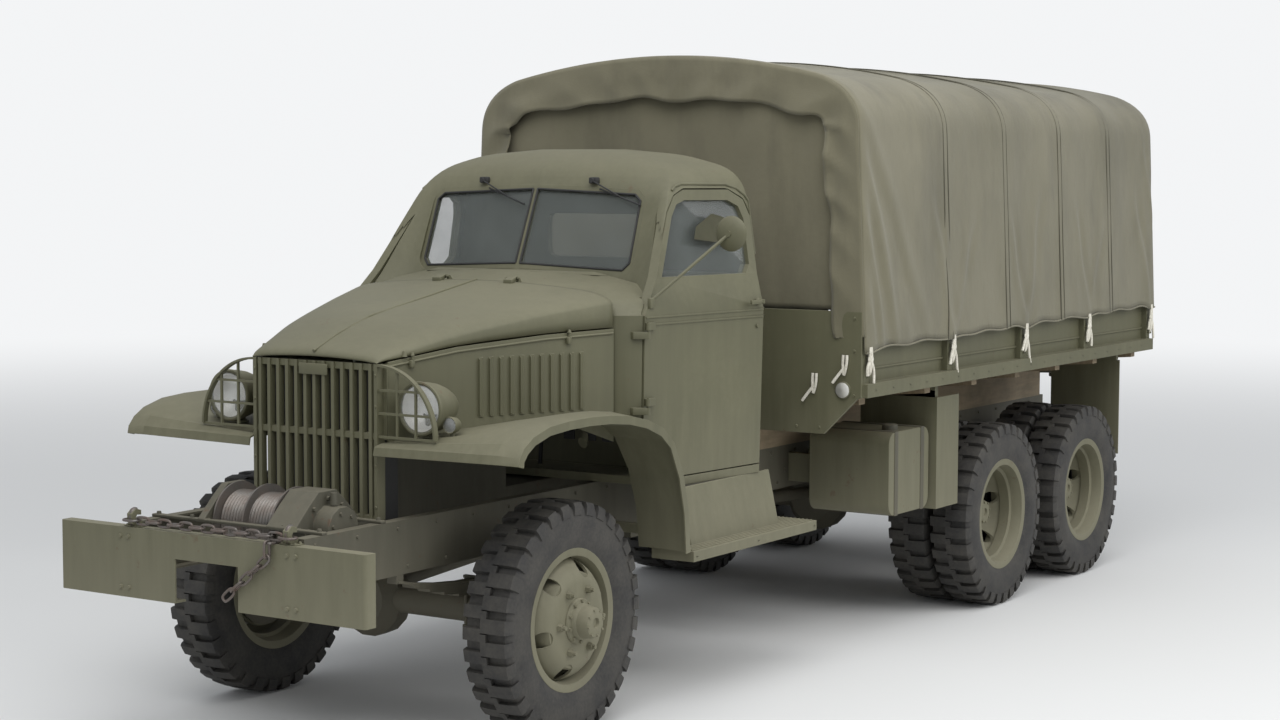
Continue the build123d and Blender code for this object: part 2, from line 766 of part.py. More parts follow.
# Top of the sheet: distance behind the front axle, z on the crown, z at the inner edge
fender_arch = (
    (-572.0, 1150.0, 1143.0),
    (-564.0, 1184.0, 1176.0),
    (-530.0, 1224.0, 1187.0),
    (-470.0, 1260.0, 1189.0),
    (-362.0, 1290.0, 1191.0),
    (-227.0, 1301.0, 1193.0),
    (-88.0, 1303.0, 1195.0),
    (55.0, 1298.0, 1200.0),
    (200.0, 1283.0, 1212.0),
    (330.0, 1255.0, 1225.0),
    (445.0, 1210.0, 1210.0),
    (530.0, 1142.0, 1150.0),
    (604.0, 1000.0, 1010.0),
    (646.0, 840.0, 840.0),
    (662.0, 668.0, 668.0),
)


def arch_curve(column, depth, drop):
    """One curve of the arch from a column of its table, moved in by a depth and down by a drop."""
    points = []
    last = len(fender_arch) - 1
    for index, row in enumerate(fender_arch):
        before = fender_arch[max(index - 1, 0)]
        after = fender_arch[min(index + 1, last)]
        run = after[0] - before[0]
        rise = after[column] - before[column]
        length = math.hypot(run, rise)
        inward = depth + drop
        points.append((aft(row[0] + rise / length * inward), row[column] - run / length * inward))
    return points


def fender_top(x_place, place):
    """The height of the sheet's top at a distance from the middle and behind the front axle."""
    for before, after in zip(fender_arch, fender_arch[1:]):
        if before[0] <= place <= after[0]:
            share = (place - before[0]) / (after[0] - before[0])
            crown = before[1] + (after[1] - before[1]) * share
            inner = before[2] + (after[2] - before[2]) * share
            across = (x_place - fender_inner_x) / (fender_crown_x - fender_inner_x)
            return inner + (crown - inner) * across
    return fender_arch[-1][1]


def fender(side):
    """One front fender, from the hood's side to its outer lip."""
    rings = []
    for x_place, column, drop in (
        (fender_inner_x, 2, 0.0),
        (fender_crown_x, 1, 0.0),
        (fender_outer_x, 1, lip_drop),
    ):
        section = arch_curve(column, 0.0, drop) + arch_curve(column, fender_sheet, drop)[::-1]
        rings.append([(side * x_place, y_place, level) for y_place, level in section])
    with BuildPart() as sheet:
        add(faceted(rings))
        inner_plan = (
            (side * nose_half_width, aft(-700)),
            (side * nose_half_width, aft(-543)),
            (side * hood_half_width(side_rear_y), aft(side_rear_y)),
            (side * 760, aft(720)),
            (side * 1100, aft(720)),
            (side * 1100, aft(-700)),
        )
        add(plan_plate(inner_plan, 500, 1400), mode=Mode.INTERSECT)
        lip_outer = arch_curve(1, 0.0, lip_drop)
        lip_lower = arch_curve(1, fender_lip, lip_drop)
        add(side_plate(lip_outer + lip_lower[::-1], side * (fender_outer_x - fender_sheet), side * fender_outer_x))
    return sheet.part


with BuildPart() as front_fenders:
    add(fender(1))
    add(fender(-1))
front_fenders.part.label = "front_fenders"
export_step(front_fenders.part, "parts/front_fenders.step")

# Headlamps on the fenders and two small marker lamps
lamp_x = 490.0
lamp_z = 1328.0
lamp_front_y = aft(-512)
lamp_rear_y = aft(-270)
lamp_radius = 104.0
lamp_sides = 20
marker_x = 610.0
marker_z = 1318.0
marker_y = aft(-430)


with BuildPart() as lamps:
    for side in (-1, 1):
        bowl = (
            (lamp_front_y + 14, lamp_radius),
            (lamp_front_y + 40, lamp_radius - 2),
            (lamp_front_y + 130, lamp_radius * 0.82),
            (lamp_front_y + 205, lamp_radius * 0.52),
            (lamp_rear_y, lamp_radius * 0.16),
        )
        add(turned_along(bowl, side * lamp_x, lamp_z, lamp_sides))
        add(rod((side * lamp_x, lamp_front_y + 80, fender_top(lamp_x, -432) - 4),
                (side * lamp_x, lamp_front_y + 80, lamp_z - 60), 22))
    add(front_fenders.part, mode=Mode.SUBTRACT)
lamps.part.label = "lamps"
export_step(lamps.part, "parts/lamps.step")

with BuildPart() as lamp_lenses:
    for side in (-1, 1):
        glass = ((lamp_front_y, lamp_radius * 0.55), (lamp_front_y + 8, lamp_radius * 0.9),
                 (lamp_front_y + 14, lamp_radius * 0.95))
        add(turned_along(glass, side * lamp_x, lamp_z, lamp_sides))
lamp_lenses.part.label = "lamp_lenses"
export_step(lamp_lenses.part, "parts/lamp_lenses.step")

# Cab
cab_wall = 40.0
door_wall = 44.0
cab_bottom = 943.0
cab_rear_y = aft(1555)
belt_z = 1636.0
# Body levels: z, then plan points of the left half from the middle of the front to the middle of the rear
lower_levels = (
    (900.0, ((0, 521), (698, 521), (790, 606), (868, 1440), (800, 1555), (0, 1555))),
    (1640.0, ((0, 521), (706, 521), (800, 606), (885, 1440), (800, 1555), (0, 1555))),
)
cowl_levels = (
    (1640.0, ((0, 521), (706, 521), (800, 606), (820, 800), (0, 800))),
    (1700.0, ((0, 521), (640, 521), (768, 640), (800, 800), (0, 800))),
    (1762.0, ((0, 521), (300, 521), (560, 660), (640, 800), (0, 800))),
    (1806.0, ((0, 700), (150, 700), (300, 760), (420, 800), (0, 800))),
)
upper_levels = (
    (1640.0, ((0, 731), (566, 790), (800, 607), (885, 1440), (800, 1555), (0, 1555))),
    (1790.0, ((0, 796), (572, 846), (762, 742), (850, 1440), (772, 1554), (0, 1554))),
    (2170.0, ((0, 958), (550, 983), (668, 1000), (792, 1440), (716, 1546), (0, 1546))),
    (2255.0, ((0, 1010), (500, 1045), (604, 1090), (720, 1420), (650, 1515), (0, 1515))),
    (2325.0, ((0, 1230), (230, 1240), (320, 1262), (380, 1370), (310, 1420), (0, 1420))),
)
toe_outline = (
    (aft(521), 1215),
    (aft(606), 1186),
    (aft(692), 1128),
    (aft(748), 1010),
    (aft(770), 900),
    (aft(1555), 900),
    (aft(1555), 2400),
    (aft(521), 2400),
)


def level_loft(levels, inset, top_drop):
    """A solid through plan levels, drawn in by inset and let down at its top."""
    rings = []
    for level, half_plan in levels:
        height = level - top_drop if level == levels[-1][0] else level
        left = [(x_place, aft(place)) for x_place, place in half_plan]
        plan = left + [(-x_place, y_place) for x_place, y_place in left[-2:0:-1]]
        rings.append([(x_place, y_place, height) for x_place, y_place in drawn_in(plan, inset)])
    return faceted(rings)


def cab_form(inset):
    """The cab as one solid, its outside drawn in by inset on every side."""
    with BuildPart() as form:
        add(level_loft(lower_levels, inset, 0))
        add(level_loft(upper_levels, inset, inset))
        add(level_loft(cowl_levels, inset, inset))
        with BuildSketch(Plane.YZ.offset(-1000)):
            with BuildLine():
                Polyline(*toe_outline, close=True)
            make_face()
            if inset:
                offset(amount=-inset, kind=Kind.INTERSECTION)
        extrude(amount=2000, mode=Mode.INTERSECT)
    return form.part


# Door outline in the side view: distance behind the front axle, z
door_outline = (
    (606, 1192),
    (606, 1640),
    (750, 1790),
    (938, 2060),
    (1010, 2130),
    (1080, 2158),
    (1330, 2158),
    (1410, 2115),
    (1440, 2040),
    (1440, 949),
    (782, 949),
    (752, 1020),
    (700, 1126),
    (650, 1168),
)
window_outline = (
    (786, 1792),
    (962, 2045),
    (1015, 2095),
    (1075, 2112),
    (1320, 2112),
    (1378, 2085),
    (1400, 2030),
    (1400, 1830),
    (1362, 1792),
)
windshield_half = ((0, 1812), (540, 1790), (578, 1830), (572, 2120), (530, 2158), (0, 2182))
pane_half = ((12, 1834), (525, 1813), (553, 1843), (548, 2108), (516, 2136), (12, 2158))
rear_window_half_width = 330.0
rear_window_bottom = 1840.0
rear_window_top = 2040.0


def side_prism(outline, x_from, x_to, grow=0.0):
    """A cutter with a side outline given behind the front axle, grown by a gap."""
    with BuildPart() as prism:
        with BuildSketch(Plane.YZ.offset(min(x_from, x_to))):
            with BuildLine():
                Polyline(*[(aft(place), level) for place, level in outline], close=True)
            make_face()
            if grow:
                offset(amount=grow, kind=Kind.INTERSECTION)
        extrude(amount=abs(x_to - x_from))
    return prism.part


def both_halves(half):
    """A closed front outline from its left half, listed from bottom middle to top middle."""
    return list(half) + [(-x_place, level) for x_place, level in half[-2:0:-1]]


# Door hinges stand outside the cab's side on a vertical axis
door_axis_x = 815.0
door_axis_place = 606.0
door_pin_radius = 5.0
door_eye_radius = 10.0
door_hinge_leaf_height = 30.0
door_hinge_heights = (1230.0, 1545.0)


def door_hinge_leaf(side, way, z_from, z_to):
    """One leaf of a door hinge: way -1 reaches forward to the cab, 1 backward to the door."""
    axis_y = aft(door_axis_place)
    if way < 0:
        foot = ((6, 4), (8, -6), (-43, -46), (-65, -38), (-31, -14), (-9, -5))
    else:
        foot = ((6, -3), (6, 8), (1, 58), (-29, 58), (-29, 13), (-10, -3))
    leaf_plan = [(side * (door_axis_x + across), axis_y + along) for across, along in foot]
    leaf = plan_plate(leaf_plan, z_from, z_to)
    return leaf + rod((side * door_axis_x, axis_y, z_from), (side * door_axis_x, axis_y, z_to), door_eye_radius)


# Side of the cab where the doors are: z, the x and place of its front edge, x and place of its rear edge
side_levels = (
    (900.0, 790.0, 606.0, 868.0, 1440.0),
    (1640.0, 800.0, 606.0, 885.0, 1440.0),
    (1790.0, 762.0, 742.0, 850.0, 1440.0),
    (2170.0, 668.0, 1000.0, 792.0, 1440.0),
)


def side_slab(side, outer, inner, ahead=0.0):
    """The cab's side between two depths, and so far ahead of its front edge."""
    rings = []
    for height, front_x, front_place, rear_x, rear_place in side_levels:
        slope = (rear_x - front_x) / (rear_place - front_place)
        rings.append([
            (side * (front_x - outer - slope * ahead), aft(front_place - ahead), height),
            (side * (rear_x - outer + slope * ahead), aft(rear_place + ahead), height),
            (side * (rear_x - inner + slope * ahead), aft(rear_place + ahead), height),
            (side * (front_x - inner - slope * ahead), aft(front_place - ahead), height),
        ])
    return faceted(rings)


cab_outside = cab_form(0)
cab_inside = cab_form(cab_wall)
above_floor = block(-1000, 1000, aft(400), aft(1700), cab_bottom, 2400)
windshield_hole = front_plate(both_halves(windshield_half), aft(690), aft(1100))
rear_hole = block(-rear_window_half_width, rear_window_half_width, aft(1400), aft(1600), rear_window_bottom,
                  rear_window_top)

with BuildPart() as cab_shell:
    add(cab_outside)
    add(cab_inside, mode=Mode.SUBTRACT)
    add(above_floor, mode=Mode.INTERSECT)
    add(windshield_hole, mode=Mode.SUBTRACT)
    add(rear_hole, mode=Mode.SUBTRACT)
    for side in (-1, 1):
        doorway = side_prism(door_outline, side * 560, side * 1000, panel_gap)
        add(doorway & side_slab(side, -20, door_wall + running_gap, 2 * panel_gap), mode=Mode.SUBTRACT)
    # Hinge ears and pins of the hood, on the cowl
    cowl_foot = (
        (aft(hood_pin_place + 3), hood_pin_z - 26),
        (aft(hood_pin_place + 3), hood_pin_z + hood_eye_radius - 1),
        (aft(hood_pin_place + 12), hood_pin_z + hood_eye_radius - 2),
        (aft(hood_pin_place + 36), hood_pin_z - 26),
    )
    for side in (-1, 1):
        middle_x = side * hood_hinge_x
        for ear_from in (middle_x - hood_eye_half - running_gap - hood_ear, middle_x + hood_eye_half + running_gap):
            add(eye_plate(ear_from, ear_from + hood_ear, aft(hood_pin_place), hood_pin_z, hood_eye_radius,
                          cowl_foot))
        pin_reach = hood_eye_half + running_gap + hood_ear
        add(rod((middle_x - pin_reach, aft(hood_pin_place), hood_pin_z),
                (middle_x + pin_reach, aft(hood_pin_place), hood_pin_z), hood_pin_radius))
        # Door hinges: the lower leaf of each is the cab's and holds the pin
        for hinge_z in door_hinge_heights:
            add(door_hinge_leaf(side, -1, hinge_z, hinge_z + door_hinge_leaf_height))
            add(rod((side * door_axis_x, aft(door_axis_place), hinge_z),
                    (side * door_axis_x, aft(door_axis_place), hinge_z + 2 * door_hinge_leaf_height + running_gap),
                    door_pin_radius))
cab_shell.part.label = "cab_shell"
export_step(cab_shell.part, "parts/cab_shell.step")

with BuildPart() as cab_floor:
    add(cab_outside)
    add(block(-1000, 1000, aft(400), aft(1700), 907, cab_bottom), mode=Mode.INTERSECT)
    # Pads on the rails
    for side in (-1, 1):
        for place in (860, 1400):
            add(block(side * (rail_outer_x - rail_flange), side * rail_outer_x, aft(place), aft(place + 70),
                      rail_top, 907))
cab_floor.part.label = "cab_floor"
export_step(cab_floor.part, "parts/cab_floor.step")

frame_inside = cab_form(26)
with BuildPart() as windshield_frame:
    add(cab_outside)
    add(frame_inside, mode=Mode.SUBTRACT)
    add(windshield_hole, mode=Mode.INTERSECT)
    for side in (-1, 1):
        pane = [(side * x_place, level) for x_place, level in pane_half]
        add(front_plate(pane, aft(690), aft(1100)), mode=Mode.SUBTRACT)
windshield_frame.part.label = "windshield_frame"
export_step(windshield_frame.part, "parts/windshield_frame.step")

glass_outside = cab_form(10)
glass_inside = cab_form(16)
with BuildPart() as cab_glass:
    add(glass_outside)
    add(glass_inside, mode=Mode.SUBTRACT)
    panes = rear_hole
    for side in (-1, 1):
        pane = [(side * x_place, level) for x_place, level in pane_half]
        panes = panes + front_plate(pane, aft(690), aft(1100))
    add(panes, mode=Mode.INTERSECT)
cab_glass.part.label = "cab_glass"
export_step(cab_glass.part, "parts/cab_glass.step")


def door(side):
    """One door, as thick as its two skins and frame, with its window open."""
    with BuildPart() as leaf:
        add(side_slab(side, 0, door_wall))
        add(side_prism(door_outline, side * 560, side * 1000), mode=Mode.INTERSECT)
        add(side_prism(window_outline, side * 560, side * 1000), mode=Mode.SUBTRACT)
        for hinge_z in door_hinge_heights:
            upper_from = hinge_z + door_hinge_leaf_height + running_gap
            add(door_hinge_leaf(side, 1, upper_from, upper_from + door_hinge_leaf_height))
            add(rod((side * door_axis_x, aft(door_axis_place), upper_from - 1),
                    (side * door_axis_x, aft(door_axis_place), upper_from + door_hinge_leaf_height + 1),
                    door_pin_radius + pin_gap), mode=Mode.SUBTRACT)
    return leaf.part


def door_glass(side):
    """The pane in one door."""
    with BuildPart() as pane:
        add(side_slab(side, 18, 24))
        add(side_prism(window_outline, side * 560, side * 1000), mode=Mode.INTERSECT)
    return pane.part


handle_z = 1668.0
handle_y = aft(1400)
with BuildPart() as left_door:
    add(door(1))
    add(block(868, 902, handle_y - 12, handle_y + 12, handle_z - 10, handle_z + 10))
    add(block(894, 906, handle_y - 90, handle_y + 16, handle_z - 9, handle_z + 9))
left_door.part.label = "left_door"
export_step(left_door.part, "parts/left_door.step")

with BuildPart() as right_door:
    mirror(left_door.part, about=Plane.YZ)
right_door.part.label = "right_door"
export_step(right_door.part, "parts/right_door.step")

with BuildPart() as left_door_glass:
    add(door_glass(1))
left_door_glass.part.label = "left_door_glass"
export_step(left_door_glass.part, "parts/left_door_glass.step")

with BuildPart() as right_door_glass:
    mirror(left_door_glass.part, about=Plane.YZ)
right_door_glass.part.label = "right_door_glass"
export_step(right_door_glass.part, "parts/right_door_glass.step")

# Mirror on an arm from the left door
mirror_centre = (1005.0, aft(955), 1976.0)
mirror_foot = (784.0, aft(655), 1692.0)
mirror_radius = 75.0
with BuildPart() as mirror_head:
    add(rod(mirror_foot, (mirror_centre[0], mirror_centre[1] - 6, mirror_centre[2]), 7))
    bowl = ((mirror_centre[1] - 26, mirror_radius * 0.55), (mirror_centre[1], mirror_radius))
    add(turned_along(bowl, mirror_centre[0], mirror_centre[2], 20))
    add(cab_outside, mode=Mode.SUBTRACT)
    add(left_door.part, mode=Mode.SUBTRACT)
mirror_head.part.label = "mirror"
export_step(mirror_head.part, "parts/mirror.step")

# Cab furniture
with BuildPart() as seat_base:
    add(block(-700, 700, aft(1010), aft(1440), cab_bottom, 1200))
seat_base.part.label = "seat_base"
export_step(seat_base.part, "parts/seat_base.step")

with BuildPart() as seat_cushions:
    add(block(-700, 700, aft(1000), aft(1440), 1200, 1330))
    add(side_plate(((aft(1412), 1330), (aft(1505), 1330), (aft(1512), 1790), (aft(1462), 1790)), -700, 700))
seat_cushions.part.label = "seat_cushions"
export_step(seat_cushions.part, "parts/seat_cushions.step")

column_top = Vector(380, aft(1030), 1530)
column_direction = Vector(0, 0.5, 0.866)
column_radius = 22.0
hub_pin_radius = 10.0
steering_wheel_radius = 200.0
rim_section = 13.0
dash_half_width = 745.0
with BuildPart() as dashboard:
    add(block(-dash_half_width, dash_half_width, aft(521), aft(735), 1480, 1640))
    add(rod(column_top - column_direction * 700, column_top - column_direction * 46, column_radius))
    # Brace from the board to the column
    add(block(column_top.X - 14, column_top.X + 14, aft(730), aft(985), 1468, 1486))
    add(cab_inside, mode=Mode.INTERSECT)
    # The column's upper end, in the steering wheel's hub
    add(rod(column_top - column_direction * 50, column_top, hub_pin_radius))
dashboard.part.label = "dashboard"
export_step(dashboard.part, "parts/dashboard.step")

wheel_plane = Plane(origin=column_top, x_dir=(1, 0, 0), z_dir=column_direction)
with BuildPart() as steering_wheel:
    with BuildSketch(wheel_plane):
        RegularPolygon(steering_wheel_radius, 28)
        RegularPolygon(steering_wheel_radius - 2 * rim_section, 28, mode=Mode.SUBTRACT)
    extrude(amount=rim_section, both=True)
    with BuildSketch(wheel_plane):
        with PolarLocations(0, 3, start_angle=90):
            with Locations((steering_wheel_radius / 2, 0)):
                Rectangle(steering_wheel_radius - rim_section, 14)
    extrude(amount=5, both=True)
    with BuildSketch(wheel_plane.offset(-40)):
        Circle(34)
    extrude(amount=52)
    add(rod(column_top - column_direction * 50, column_top + column_direction * pin_gap, hub_pin_radius + pin_gap),
        mode=Mode.SUBTRACT)
steering_wheel.part.label = "steering_wheel"
export_step(steering_wheel.part, "parts/steering_wheel.step")

# Running boards with their sloped risers
board_outer_x = 1000.0
board_inner_x = 790.0
board_top = 665.0
board_thickness = 45.0
with BuildPart() as running_boards:
    for side in (-1, 1):
        board = (
            (side * board_inner_x, aft(676)),
            (side * board_outer_x, aft(676)),
            (side * board_outer_x, aft(1738)),
            (side * board_inner_x, aft(1738)),
        )
        add(plan_plate(board, board_top - board_thickness, board_top))
        riser = ((side * 912, board_top), (side * 900, board_top), (side * 846, 907), (side * 858, 907))
        add(front_plate(riser, aft(800), aft(1545)))
        for bracket_y in (aft(820), aft(1500)):
            add(block(side * rail_outer_x, side * board_inner_x, bracket_y, bracket_y + 40, 690, 730))
            add(block(side * (board_inner_x - 40), side * (board_inner_x + 30), bracket_y, bracket_y + 40,
                      board_top - board_thickness, 730))
running_boards.part.label = "running_boards"
export_step(running_boards.part, "parts/running_boards.step")

# Engine as one block, gearbox and transfer case
engine_half_width = 180.0
with BuildPart() as powertrain:
    add(block(-engine_half_width, engine_half_width, aft(-330), aft(480), 700, 1350))
    add(block(-150, 150, aft(480), aft(1050), 650, 890))
    add(rod((0, aft(1050), 770), (0, aft(1500), 770), 34))
    add(block(-230, 150, aft(1500), aft(1850), 540, 860))
    # Engine mounts on the rails' webs
    add(block(-rail_outer_x + rail_wall, rail_outer_x - rail_wall, aft(-200), aft(-140), 740, 790))
powertrain.part.label = "powertrain"
export_step(powertrain.part, "parts/powertrain.step")

# Axles: driven front axle with kingpin bosses, two driven rear axles
kingpin_x = 640.0
boss_radius = 80.0
boss_half_height = 90.0
kingpin_radius = 18.0
diff_radius = 170.0
diff_half_length = 95.0
front_diff_x = -150.0
rear_tube_end = 605.0
rear_spindle_end = 845.0


def differential(x_place, y_axle):
    """A round housing in the middle of an axle, its axis along the truck."""
    sections = (
        (y_axle - diff_half_length, diff_radius * 0.7),
        (y_axle - diff_half_length * 0.4, diff_radius),
        (y_axle + diff_half_length * 0.4, diff_radius),
        (y_axle + diff_half_length, diff_radius * 0.7),
    )
    return turned_along(sections, x_place, axle_z, 16)


with BuildPart() as axles:
    add(rod((-kingpin_x, aft(0), axle_z), (kingpin_x, aft(0), axle_z), axle_tube_radius))
    add(differential(front_diff_x, aft(0)))
    for side in (-1, 1):
        boss_bottom = (side * kingpin_x, aft(0), axle_z - boss_half_height)
        boss_top = (side * kingpin_x, aft(0), axle_z + boss_half_height)
        add(rod(boss_bottom, boss_top, boss_radius))
        add(rod(boss_bottom, boss_top, kingpin_radius + pin_gap), mode=Mode.SUBTRACT)
    for axle_y in (mid_axle_y, rear_axle_y):
        add(rod((-rear_tube_end, axle_y, axle_z), (rear_tube_end, axle_y, axle_z), axle_tube_radius))
        add(rod((-rear_spindle_end, axle_y, axle_z), (rear_spindle_end, axle_y, axle_z), spindle_radius))
        add(differential(0, axle_y))
        for side in (-1, 1):
            plate_from = side * rear_tube_end - (backing_thickness if side < 0 else 0)
            add(many_sided(plate_from, plate_from + backing_thickness, axle_y, axle_z, backing_radius, 20))
axles.part.label = "axles"
export_step(axles.part, "parts/axles.step")

# Steering knuckles with their arms, and the tie rod
ear_thickness = 20.0
ear_gap = running_gap
ear_half_depth = 52.0
knuckle_plate_x = 742.0
spindle_end_x = 866.0
arm_length = 250.0
arm_half_width = 14.0
arm_thickness = 22.0
tie_rod_z = 400.0
tie_pin_radius = 9.0
tie_eye_radius = 21.0
tie_rod_radius = 17.0
knuckle_low = axle_z - boss_half_height - ear_gap - ear_thickness
knuckle_high = axle_z + boss_half_height + ear_gap + ear_thickness
arm_bottom = tie_rod_z + 14 + running_gap


def knuckle_form():
    """The left steering knuckle: two ears, kingpins, backing plate, spindle and arm."""
    inner_low = knuckle_low + ear_thickness
    inner_high = knuckle_high - ear_thickness
    fork = (
        (kingpin_x - 42, knuckle_low),
        (knuckle_plate_x, knuckle_low),
        (knuckle_plate_x, knuckle_high),
        (kingpin_x - 42, knuckle_high),
        (kingpin_x - 42, inner_high),
        (knuckle_plate_x - 14, inner_high),
        (knuckle_plate_x - 14, inner_low),
        (kingpin_x - 42, inner_low),
    )
    with BuildPart() as form:
        add(front_plate(fork, aft(-ear_half_depth), aft(ear_half_depth)))
        for pin_from, pin_to in ((knuckle_low, inner_low + 30), (inner_high - 30, knuckle_high)):
            add(rod((kingpin_x, aft(0), pin_from), (kingpin_x, aft(0), pin_to), kingpin_radius))
        add(many_sided(knuckle_plate_x, knuckle_plate_x + backing_thickness, aft(0), axle_z, backing_radius, 20))
        add(rod((knuckle_plate_x, aft(0), axle_z), (spindle_end_x, aft(0), axle_z), spindle_radius))
        arm = (
            (aft(20), knuckle_low),
            (aft(104), knuckle_low),
            (aft(168), arm_bottom),
            (aft(arm_length + 18), arm_bottom),
            (aft(arm_length + 18), arm_bottom + arm_thickness),
            (aft(156), arm_bottom + arm_thickness),
            (aft(92), knuckle_low + ear_thickness),
            (aft(20), knuckle_low + ear_thickness),
        )
        add(side_plate(arm, kingpin_x - arm_half_width, kingpin_x + arm_half_width - 2))
        add(rod((kingpin_x, aft(arm_length), tie_rod_z - 18), (kingpin_x, aft(arm_length), arm_bottom + 4),
                tie_pin_radius))
    return form.part


left_knuckle_form = knuckle_form()
with BuildPart() as knuckle_left:
    add(left_knuckle_form)
knuckle_left.part.label = "knuckle_left"
export_step(knuckle_left.part, "parts/knuckle_left.step")

with BuildPart() as knuckle_right:
    mirror(left_knuckle_form, about=Plane.YZ)
knuckle_right.part.label = "knuckle_right"
export_step(knuckle_right.part, "parts/knuckle_right.step")

with BuildPart() as tie_rod:
    add(rod((-kingpin_x + 16, aft(arm_length), tie_rod_z), (kingpin_x - 16, aft(arm_length), tie_rod_z),
            tie_rod_radius))
    for side in (-1, 1):
        eye_bottom = (side * kingpin_x, aft(arm_length), tie_rod_z - 14)
        eye_top = (side * kingpin_x, aft(arm_length), tie_rod_z + 14)
        add(rod(eye_bottom, eye_top, tie_eye_radius))
        add(rod((side * kingpin_x, aft(arm_length), tie_rod_z - 20),
                (side * kingpin_x, aft(arm_length), tie_rod_z + 20), tie_pin_radius + pin_gap), mode=Mode.SUBTRACT)
tie_rod.part.label = "tie_rod"
export_step(tie_rod.part, "parts/tie_rod.step")

# Wheels. Every left one is made, and its mirror image is the right one.
front_tyre_form = tyre(front_tyre_x, aft(0))
front_face_x = front_tyre_x + disc_offset
with BuildPart() as front_wheel_form:
    add(rim_and_disc(front_tyre_x, aft(0), 1))
    add(hub_and_drum(aft(0), front_face_x, knuckle_plate_x + backing_thickness + running_gap, hub_tip_x))

with BuildPart() as front_left_tyre:
    add(front_tyre_form)
front_left_tyre.part.label = "front_left_tyre"
export_step(front_left_tyre.part, "parts/front_left_tyre.step")
with BuildPart() as front_right_tyre:
    mirror(front_tyre_form, about=Plane.YZ)
front_right_tyre.part.label = "front_right_tyre"
export_step(front_right_tyre.part, "parts/front_right_tyre.step")
with BuildPart() as front_left_wheel:
    add(front_wheel_form.part)
front_left_wheel.part.label = "front_left_wheel"
export_step(front_left_wheel.part, "parts/front_left_wheel.step")
with BuildPart() as front_right_wheel:
    mirror(front_wheel_form.part, about=Plane.YZ)
front_right_wheel.part.label = "front_right_wheel"
export_step(front_right_wheel.part, "parts/front_right_wheel.step")

twin_face_x = twin_outer_x - disc_offset
rear_drum_from = rear_tube_end + backing_thickness + running_gap


def twin_wheel(axle_y):
    """Both steel wheels of a left twin on their hub and drum."""
    with BuildPart() as twin:
        add(rim_and_disc(twin_outer_x, axle_y, -1))
        add(rim_and_disc(twin_inner_x, axle_y, 1, holes=False))
        add(hub_and_drum(axle_y, twin_face_x, rear_drum_from, twin_hub_tip_x))
    return twin.part


for axle_name, axle_y in (("mid", mid_axle_y), ("rear", rear_axle_y)):
    twin_tyres = tyre(twin_outer_x, axle_y) + tyre(twin_inner_x, axle_y, lugged=False)
    twin_discs = twin_wheel(axle_y)
    for side_name in ("left", "right"):
        with BuildPart() as tyre_pair:
            if side_name == "left":
                add(twin_tyres)
            else:
                mirror(twin_tyres, about=Plane.YZ)
        tyre_pair.part.label = f"{axle_name}_{side_name}_tyres"
        export_step(tyre_pair.part, f"parts/{axle_name}_{side_name}_tyres.step")
        with BuildPart() as disc_pair:
            if side_name == "left":
                add(twin_discs)
            else:
                mirror(twin_discs, about=Plane.YZ)
        disc_pair.part.label = f"{axle_name}_{side_name}_wheels"
        export_step(disc_pair.part, f"parts/{axle_name}_{side_name}_wheels.step")

# Leaf springs
front_spring_x = (375.0, 435.0)
rear_spring_x = (498.0, 562.0)
leaf_thickness = 11.0
front_spring_seat = axle_z + axle_tube_radius + 12


def leaf_pack(y_centre, half_length, seat_z, rise, leaf_total, x_range, direction):
    """A stack of leaves as one stepped form; direction 1 puts the shorter leaves below, -1 above."""
    reaches = [half_length * (1 - index / (leaf_total + 1)) for index in range(leaf_total)]
    depth = leaf_total * leaf_thickness

    def bend(distance):
        return rise * (distance / half_length) ** 2

    half = [(reaches[0] * step / 4, depth + bend(reaches[0] * step / 4)) for step in range(1, 5)]
    for index, reach in enumerate(reaches):
        level = depth - (index + 1) * leaf_thickness
        half.append((reach, level + bend(reach)))
        if index + 1 < leaf_total:
            half.append((reaches[index + 1], level + bend(reaches[index + 1])))
    outline = [(0, depth)] + half + [(0, 0)] + [(-distance, level) for distance, level in half[::-1]]
    if direction < 0:
        outline = [(distance, depth - level) for distance, level in outline]
    placed = [(y_centre + distance, seat_z + level) for distance, level in outline]
    return side_plate(placed, x_range[0], x_range[1])


with BuildPart() as leaf_springs:
    front_pack = leaf_pack(aft(0), 560, front_spring_seat, 70, 5, front_spring_x, 1)
    rear_pack = leaf_pack(bogie_y, bogie_spacing / 2 + 40, 632, 84, 7, rear_spring_x, -1)
    for pack in (front_pack, rear_pack):
        add(pack)
        mirror(pack, about=Plane.YZ)
    for side in (-1, 1):
        # Front spring seats on the axle, and hangers up to the rail
        add(block(side * front_spring_x[0], side * front_spring_x[1], aft(-50), aft(50),
                  axle_z + axle_tube_radius - 2, front_spring_seat))
        for place in (-545, 545):
            add(block(side * 380, side * 428, aft(place - 20), aft(place + 20), 655, rail_bottom))
        # Trunnion bracket and saddle of the rear pack
        add(block(side * 395, side * 425, bogie_y - 90, bogie_y + 90, 520, rail_bottom))
        add(rod((side * 395, bogie_y, 566), (side * 575, bogie_y, 566), 40))
        add(block(side * rear_spring_x[0], side * rear_spring_x[1], bogie_y - 80, bogie_y + 80, 566, 634))
        for axle_y in (mid_axle_y, rear_axle_y):
            add(block(side * rear_spring_x[0], side * rear_spring_x[1], axle_y - 40, axle_y + 40,
                      axle_z + axle_tube_radius - 2, 562))
    # The axle tubes pass under their seats
    add(axles.part, mode=Mode.SUBTRACT)
leaf_springs.part.label = "leaf_springs"
export_step(leaf_springs.part, "parts/leaf_springs.step")

